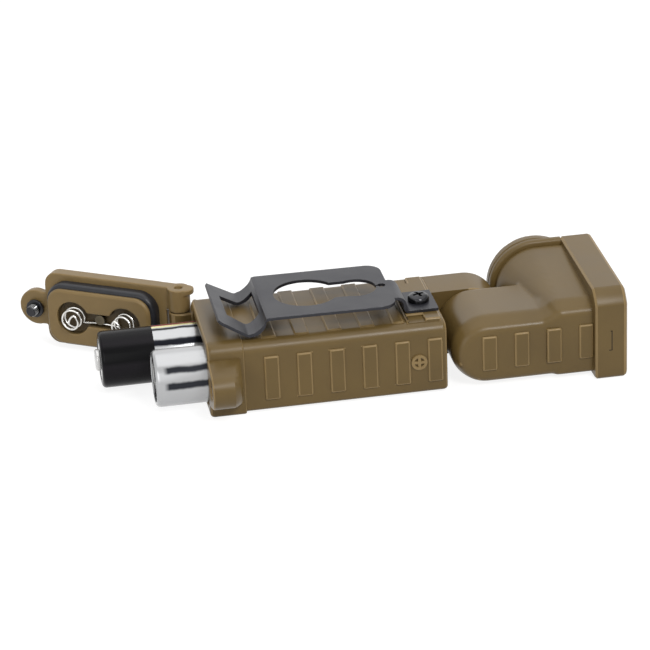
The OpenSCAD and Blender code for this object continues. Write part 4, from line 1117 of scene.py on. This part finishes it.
def make_clip_screw():
    """Pan head screw with a cross recess."""
    head_high, head_r, shank_r, crown = 1.7, 2.7, 1.25, 1.05
    low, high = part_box("clip_screw")
    centre = (Vector(low) + Vector(high)) / 2.0
    tip = low[2] / MM
    foot = high[2] / MM - head_high
    rows = [(tip, 0.0, 0), (tip, shank_r, 0), (foot, shank_r, 0)]
    rows += [(foot, head_r - 0.1, 0), (foot + 0.12, head_r, 0)]
    for step in range(9):
        turn = 0.5 * math.pi * step / 8.0
        rows.append((foot + 0.65 + crown * math.sin(turn), head_r - 1.5 * (1.0 - math.cos(turn)), 0))
    rows.append((foot + head_high, 0.0, 0))

    def place(along, x, y):
        return Vector((centre.x + x * MM, centre.y + y * MM, along * MM))

    whole = lathe("screw_head", rows, place, 64)
    shape = bmesh.new()
    shape.from_mesh(hollowed(whole, cross_recess(centre, foot + head_high)))
    mesh = finish_mesh("clip_screw_head", shape)
    mesh.materials.append(FINISHES["black_screw"])
    piece = add_piece("clip_screw_head", mesh, BODY_OF["clip_screw"], ("clip_screw",))
    rounding = add_rounding(piece, 0.05)
    rounding.limit_method = "ANGLE"
    rounding.angle_limit = ROUNDED_FROM


# Pieces of the head


def make_side_plate():
    """Flat-topped plate behind the head, with a full rounded rim towards it."""
    full, reach, rim = 12.05, 1.6, 0.9
    rows = []
    for step in range(5, -1, -1):
        turn = 0.5 * math.pi * step / 5.0
        rows.append((PLATE_NEAR + rim * (1.0 - math.sin(turn)), rim * (1.0 - math.cos(turn))))
    rows.append((PLATE_NEAR + reach, 0.0))
    shape = bmesh.new()
    rings = []
    for y, inset in rows:
        radius = full - inset
        ring = [(BEZEL_BACK, y, DRUM[1] + radius)]
        for step in range(97):
            angle = 0.5 * math.pi + math.pi * step / 96.0
            ring.append((DRUM[0] + radius * math.cos(angle), y, DRUM[1] + radius * math.sin(angle)))
        ring.append((BEZEL_BACK, y, DRUM[1] - radius))
        rings.append([shape.verts.new(Vector(point) * MM) for point in ring])
    close_rings(shape, rings)
    turn_outwards(shape)
    mesh = finish_mesh("side_plate_rim", shape)
    mesh.materials.append(FINISHES["brown_plastic"])
    add_piece("side_plate_rim", mesh, "head", ("side_plate",))


def swivel_end_points():
    """Round swivel end, with its long near edge sloped off."""
    points = []
    for depth, top, low in EDGE_PROFILE:
        y = SWIVEL_NEAR + depth
        radius = SWIVEL_R - (low + top) / 2.0
        points += round_points(PIVOT[0], y, PIVOT[1] + (low - top) / 2.0, radius, 96)
        points += bar_points(SWIVEL_INTO, y, PIVOT[1] - SWIVEL_R + low, PIVOT[1] + SWIVEL_R - top)
    points += round_points(PIVOT[0], SWIVEL_FAR, PIVOT[1], SWIVEL_R, 96)
    points += bar_points(SWIVEL_INTO, SWIVEL_FAR, PIVOT[1] - SWIVEL_R, PIVOT[1] + SWIVEL_R)
    return points


def slope_points():
    """Slope from the swivel end up to the lens housing."""
    points = []
    edge_y = HOUSING_NEAR + EDGE_DEPTH
    for depth, top, _ in EDGE_PROFILE:
        for x, near in ((SLOPE_FROM, SWIVEL_NEAR + 0.06), (SLOPE_TO, HOUSING_NEAR + 0.03)):
            for side in (near + depth, SWIVEL_FAR - 0.5):
                peak = PIVOT[1] + SWIVEL_R if x == SLOPE_FROM else housing_top(max(side, edge_y)) - 0.05
                points += bar_points(x, side, SLOPE_FOOT, peak - top)
                points += bar_points(x + 0.2, side, SLOPE_FOOT, peak - top)
    return points


def housing_points():
    """Lens housing: round at the side plate, squarer at the near side, where its top is lower."""
    points = []
    front = BEZEL_BACK + 1.2
    back = DRUM[0] - 4.44
    brow = 3.4
    for depth, top, rise in EDGE_PROFILE:
        low = HOUSING_LOW + 0.6 * rise
        for side in (HOUSING_NEAR + depth, SWIVEL_FAR - 1.0):
            peak = housing_top(max(side, HOUSING_NEAR + EDGE_DEPTH))
            points += round_points(back + brow, side, peak - brow, brow - top, 64)
            points += bar_points(front, side, low, peak - top)
            points += bar_points(back + 1.4 + 0.6 * rise, side, low, low + 1.0)
    for side in (PLATE_NEAR - 1.2, PLATE_NEAR):
        points += round_points(DRUM[0], side, DRUM[1], DRUM_R, 128)
    points += bar_points(front, PLATE_NEAR, HOUSING_LOW + 0.8, HOUSING_TOP - 0.8)
    points += bar_points(front, PLATE_NEAR - 0.8, HOUSING_LOW, HOUSING_TOP)
    return points


def lens_hollow_mesh():
    """Block with rounded corners that opens the front of the head for the lamps."""
    half_wide, half_high, corner = 15.5, 9.75, 3.8
    outline = box_outline((FACE_Y, DRUM[1]), half_wide - corner, half_high - corner, corner, 8)
    outline = [(y, min(z, room_in_housing(y))) for y, z in outline]
    shape = bmesh.new()
    rings = []
    for x in (HOLLOW_BACK, BEZEL_BACK + 2.0):
        rings.append([shape.verts.new(Vector((x, y, z)) * MM) for y, z in outline])
    close_rings(shape, rings)
    turn_outwards(shape)
    return mesh_of("lens_hollow", shape)


def make_head():
    """Head casting: three plain forms melted into one skin with soft valleys, then cut open at the front."""
    shape = bmesh.new()
    for points in (swivel_end_points(), slope_points(), housing_points()):
        add_hull(shape, points)
    skin = melted(mesh_of("head_forms", shape), 0.32, 16)
    shape = bmesh.new()
    shape.from_mesh(skin)
    cut_off(shape, (BEZEL_BACK * MM, 0.0, 0.0), (1.0, 0.0, 0.0))
    opened = hollowed(mesh_of("head_whole", shape), lens_hollow_mesh())
    shape = bmesh.new()
    shape.from_mesh(opened)
    for face in shape.faces:
        face.material_index = 0
    casting = finish_mesh("head_casting", shape)
    casting.materials.append(HEAD_BROWN)
    add_piece("head_casting", casting, "head", ("head_shell",))


def make_head_ribs():
    """Four grip ribs on the near side of the head."""
    start, pitch, wide, high, foot = PIVOT[0] - 1.54, 8.18, 3.76, 9.2, 4.8
    shape = bmesh.new()
    for step in range(4):
        near = SWIVEL_NEAR if step < 2 else HOUSING_NEAR
        x = start + pitch * step
        end = x + min(wide, BEZEL_BACK - x)
        z = foot + 0.2 * step
        add_bar(shape, (x, near - 0.55, z), (end, near + 1.2, z + high))
    mesh = mesh_of("head_ribs", shape)
    mesh.materials.append(FINISHES["brown_plastic"])
    mesh.materials.append(EDGE_FINISHES["brown_plastic"])
    for face in mesh.polygons:
        face.use_smooth = True
    piece = add_piece("head_ribs", mesh, "head")
    rounding = add_rounding(piece, 0.4)
    rounding.harden_normals = True
    # The roundings take the golden edge finish, a painted highlight.
    rounding.material = 1
    even_shading(piece)


def make_bezel_line():
    """Thin moulded line on the near side of the bezel, in a dark brown that is painted shade."""
    shape = bmesh.new()
    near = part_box("face_bezel")[0][1] / MM
    for low, high in (
        ((96.1, 7.9), (96.35, 13.1)),
        ((95.5, 7.8), (96.35, 8.05)),
        ((95.85, 12.95), (96.35, 13.2)),
    ):
        add_bar(shape, (low[0], near - 0.02, low[1]), (high[0], near + 0.3, high[1]))
    mesh = finish_mesh("bezel_line", shape)
    mesh.materials.append(BEZEL_LINE_SHADE)
    add_piece("bezel_line", mesh, "head")


# All pieces, in turn

for node, width in (
    ("selector_knob", 0.12),
    ("axle_screw", 0.1),
    ("latch_ring", 0.2),
    ("far_cell_cap", 0.15),
    ("near_cell_base", 0.15),
    ("lens", 0.1),
    ("white_led", 0.1),
    ("red_led", 0.0),
    ("blue_led", 0.0),
    ("infrared_led", 0.0),
    ("push_button", 0.2),
    ("axle_washer", 0.1),
    ("spring_rivet", 0.12),
):
    soften(node, width)
soften("battery_case", 0.4, where=clear_of_small_forms, split=split_mouth, painted_highlight=painted_highlight_on_case)
soften("face_bezel", 0.25, shape_up=fall_to_near_side, painted_highlight=painted_highlight_on_bezel)
soften("reflector", 0.1, shape_up=keep_under_housing)
soften("led_board", 0.0, shape_up=keep_under_housing)
soften("pocket_clip", 0.1, shape_up=steepen_clip)
make_door()
make_spring()
make_cells()
make_gasket()
make_latch_screw()
make_clip_screw()
make_side_plate()
make_head()
make_head_ribs()
make_bezel_line()

for name, solid in frame["nodes"].items():
    solid.data.materials.clear()
    solid.data.materials.append(FINISHES[SLOT_OF[name]])


# Floor, light and camera


def white_to_the_eye(tree):
    """1 for rays that show the background itself: seen straight, in a reflection or through glass."""
    rays = tree.nodes.new("ShaderNodeLightPath").outputs
    plain = add_math(tree, "MAXIMUM", rays["Is Camera Ray"], rays["Is Glossy Ray"])
    return add_math(tree, "MAXIMUM", plain, rays["Is Transmission Ray"])


def show_instead(tree, usual, shown, output):
    """Use one shader for light, and another where the background itself shows."""
    choose = tree.nodes.new("ShaderNodeMixShader")
    tree.links.new(white_to_the_eye(tree), choose.inputs["Fac"])
    tree.links.new(usual, choose.inputs[1])
    tree.links.new(shown, choose.inputs[2])
    tree.links.new(choose.outputs["Shader"], tree.nodes[output].inputs["Surface"])


def make_floor():
    """White floor, a hair below the part, that still takes a faint shadow."""
    bpy.ops.mesh.primitive_plane_add(size=6.0, location=(0.0, 0.0, -0.00005))
    floor = bpy.context.object
    floor.name = "floor"
    finish = Finish("white floor", 0.9, specular=0.0)
    finish.put("Base Color", (0.7, 0.7, 0.7))
    tree = finish.tree
    pale = tree.nodes.new("ShaderNodeBsdfDiffuse")
    pale.inputs["Color"].default_value = (0.3, 0.3, 0.3, 1.0)
    glow = tree.nodes.new("ShaderNodeEmission")
    glow.inputs["Strength"].default_value = 0.86
    both = tree.nodes.new("ShaderNodeAddShader")
    tree.links.new(pale.outputs["BSDF"], both.inputs[0])
    tree.links.new(glow.outputs["Emission"], both.inputs[1])
    show_instead(tree, finish.shader.outputs["BSDF"], both.outputs["Shader"], "Material Output")
    floor.data.materials.append(finish.material)


def make_world():
    """Dim white surroundings that show as plain white."""
    world = bpy.data.worlds.new("studio")
    bpy.context.scene.world = world
    world.use_nodes = True
    tree = world.node_tree
    dim = tree.nodes["Background"]
    white = tree.nodes.new("ShaderNodeBackground")
    for background, strength in ((dim, 0.22), (white, 1.0)):
        background.inputs["Color"].default_value = (1.0, 1.0, 1.0, 1.0)
        background.inputs["Strength"].default_value = strength
    show_instead(tree, dim.outputs["Background"], white.outputs["Background"], "World Output")


def add_softbox(name, place, target, size, power):
    """Flat lamp that points at a target and isn't seen itself. Places and sizes are in metres."""
    data = bpy.data.lights.new(name, "AREA")
    data.shape = "RECTANGLE"
    data.size, data.size_y = size
    data.energy = power
    lamp = add_object(name, data)
    lamp.visible_camera = False
    aim = Vector(target) - Vector(place)
    lamp.matrix_world = Matrix.Translation(place) @ aim.to_track_quat("-Z", "Y").to_matrix().to_4x4()


def make_camera():
    """Camera at the photograph's place. Its direction, roll and lens were found from the part's edges."""
    azimuth = math.radians(-8.87)
    elevation = math.radians(24.33)
    roll = math.radians(-2.56)
    back = Vector((
        math.sin(azimuth) * math.cos(elevation),
        -math.cos(azimuth) * math.cos(elevation),
        math.sin(elevation),
    ))
    level = Vector((math.cos(azimuth), math.sin(azimuth), 0.0))
    rise = back.cross(level)
    right = level * math.cos(roll) + rise * math.sin(roll)
    up = rise * math.cos(roll) - level * math.sin(roll)
    data = bpy.data.cameras.new("view")
    data.sensor_width = 36.0
    data.lens = 157.5
    data.clip_start = 0.05
    camera = add_object("view", data)
    turn = Matrix((right, up, back)).transposed().to_4x4()
    camera.matrix_world = Matrix.Translation((-0.07265, -0.64041, 0.30768)) @ turn
    bpy.context.scene.camera = camera


make_floor()
make_world()
add_softbox("overhead", (0.12, 0.15, 0.8), (0.1, 0.0, 0.0), (1.3, 1.0), 3.9)
add_softbox("key", (0.2, -0.56, 0.55), (0.05, 0.0, 0.0), (0.22, 0.18), 2.8)
add_softbox("back", (0.05, 0.75, 0.38), (0.03, 0.0, 0.02), (1.0, 0.5), 0.65)
add_softbox("front", (-0.34, -0.5, 0.3), (-0.02, 0.0, 0.01), (0.5, 0.4), 0.4)
add_softbox("door fill", (-0.21, -0.18, 0.12), (-0.02, 0.03, 0.01), (0.2, 0.16), 0.1)
make_camera()
bpy.context.scene.view_settings.view_transform = "Standard"
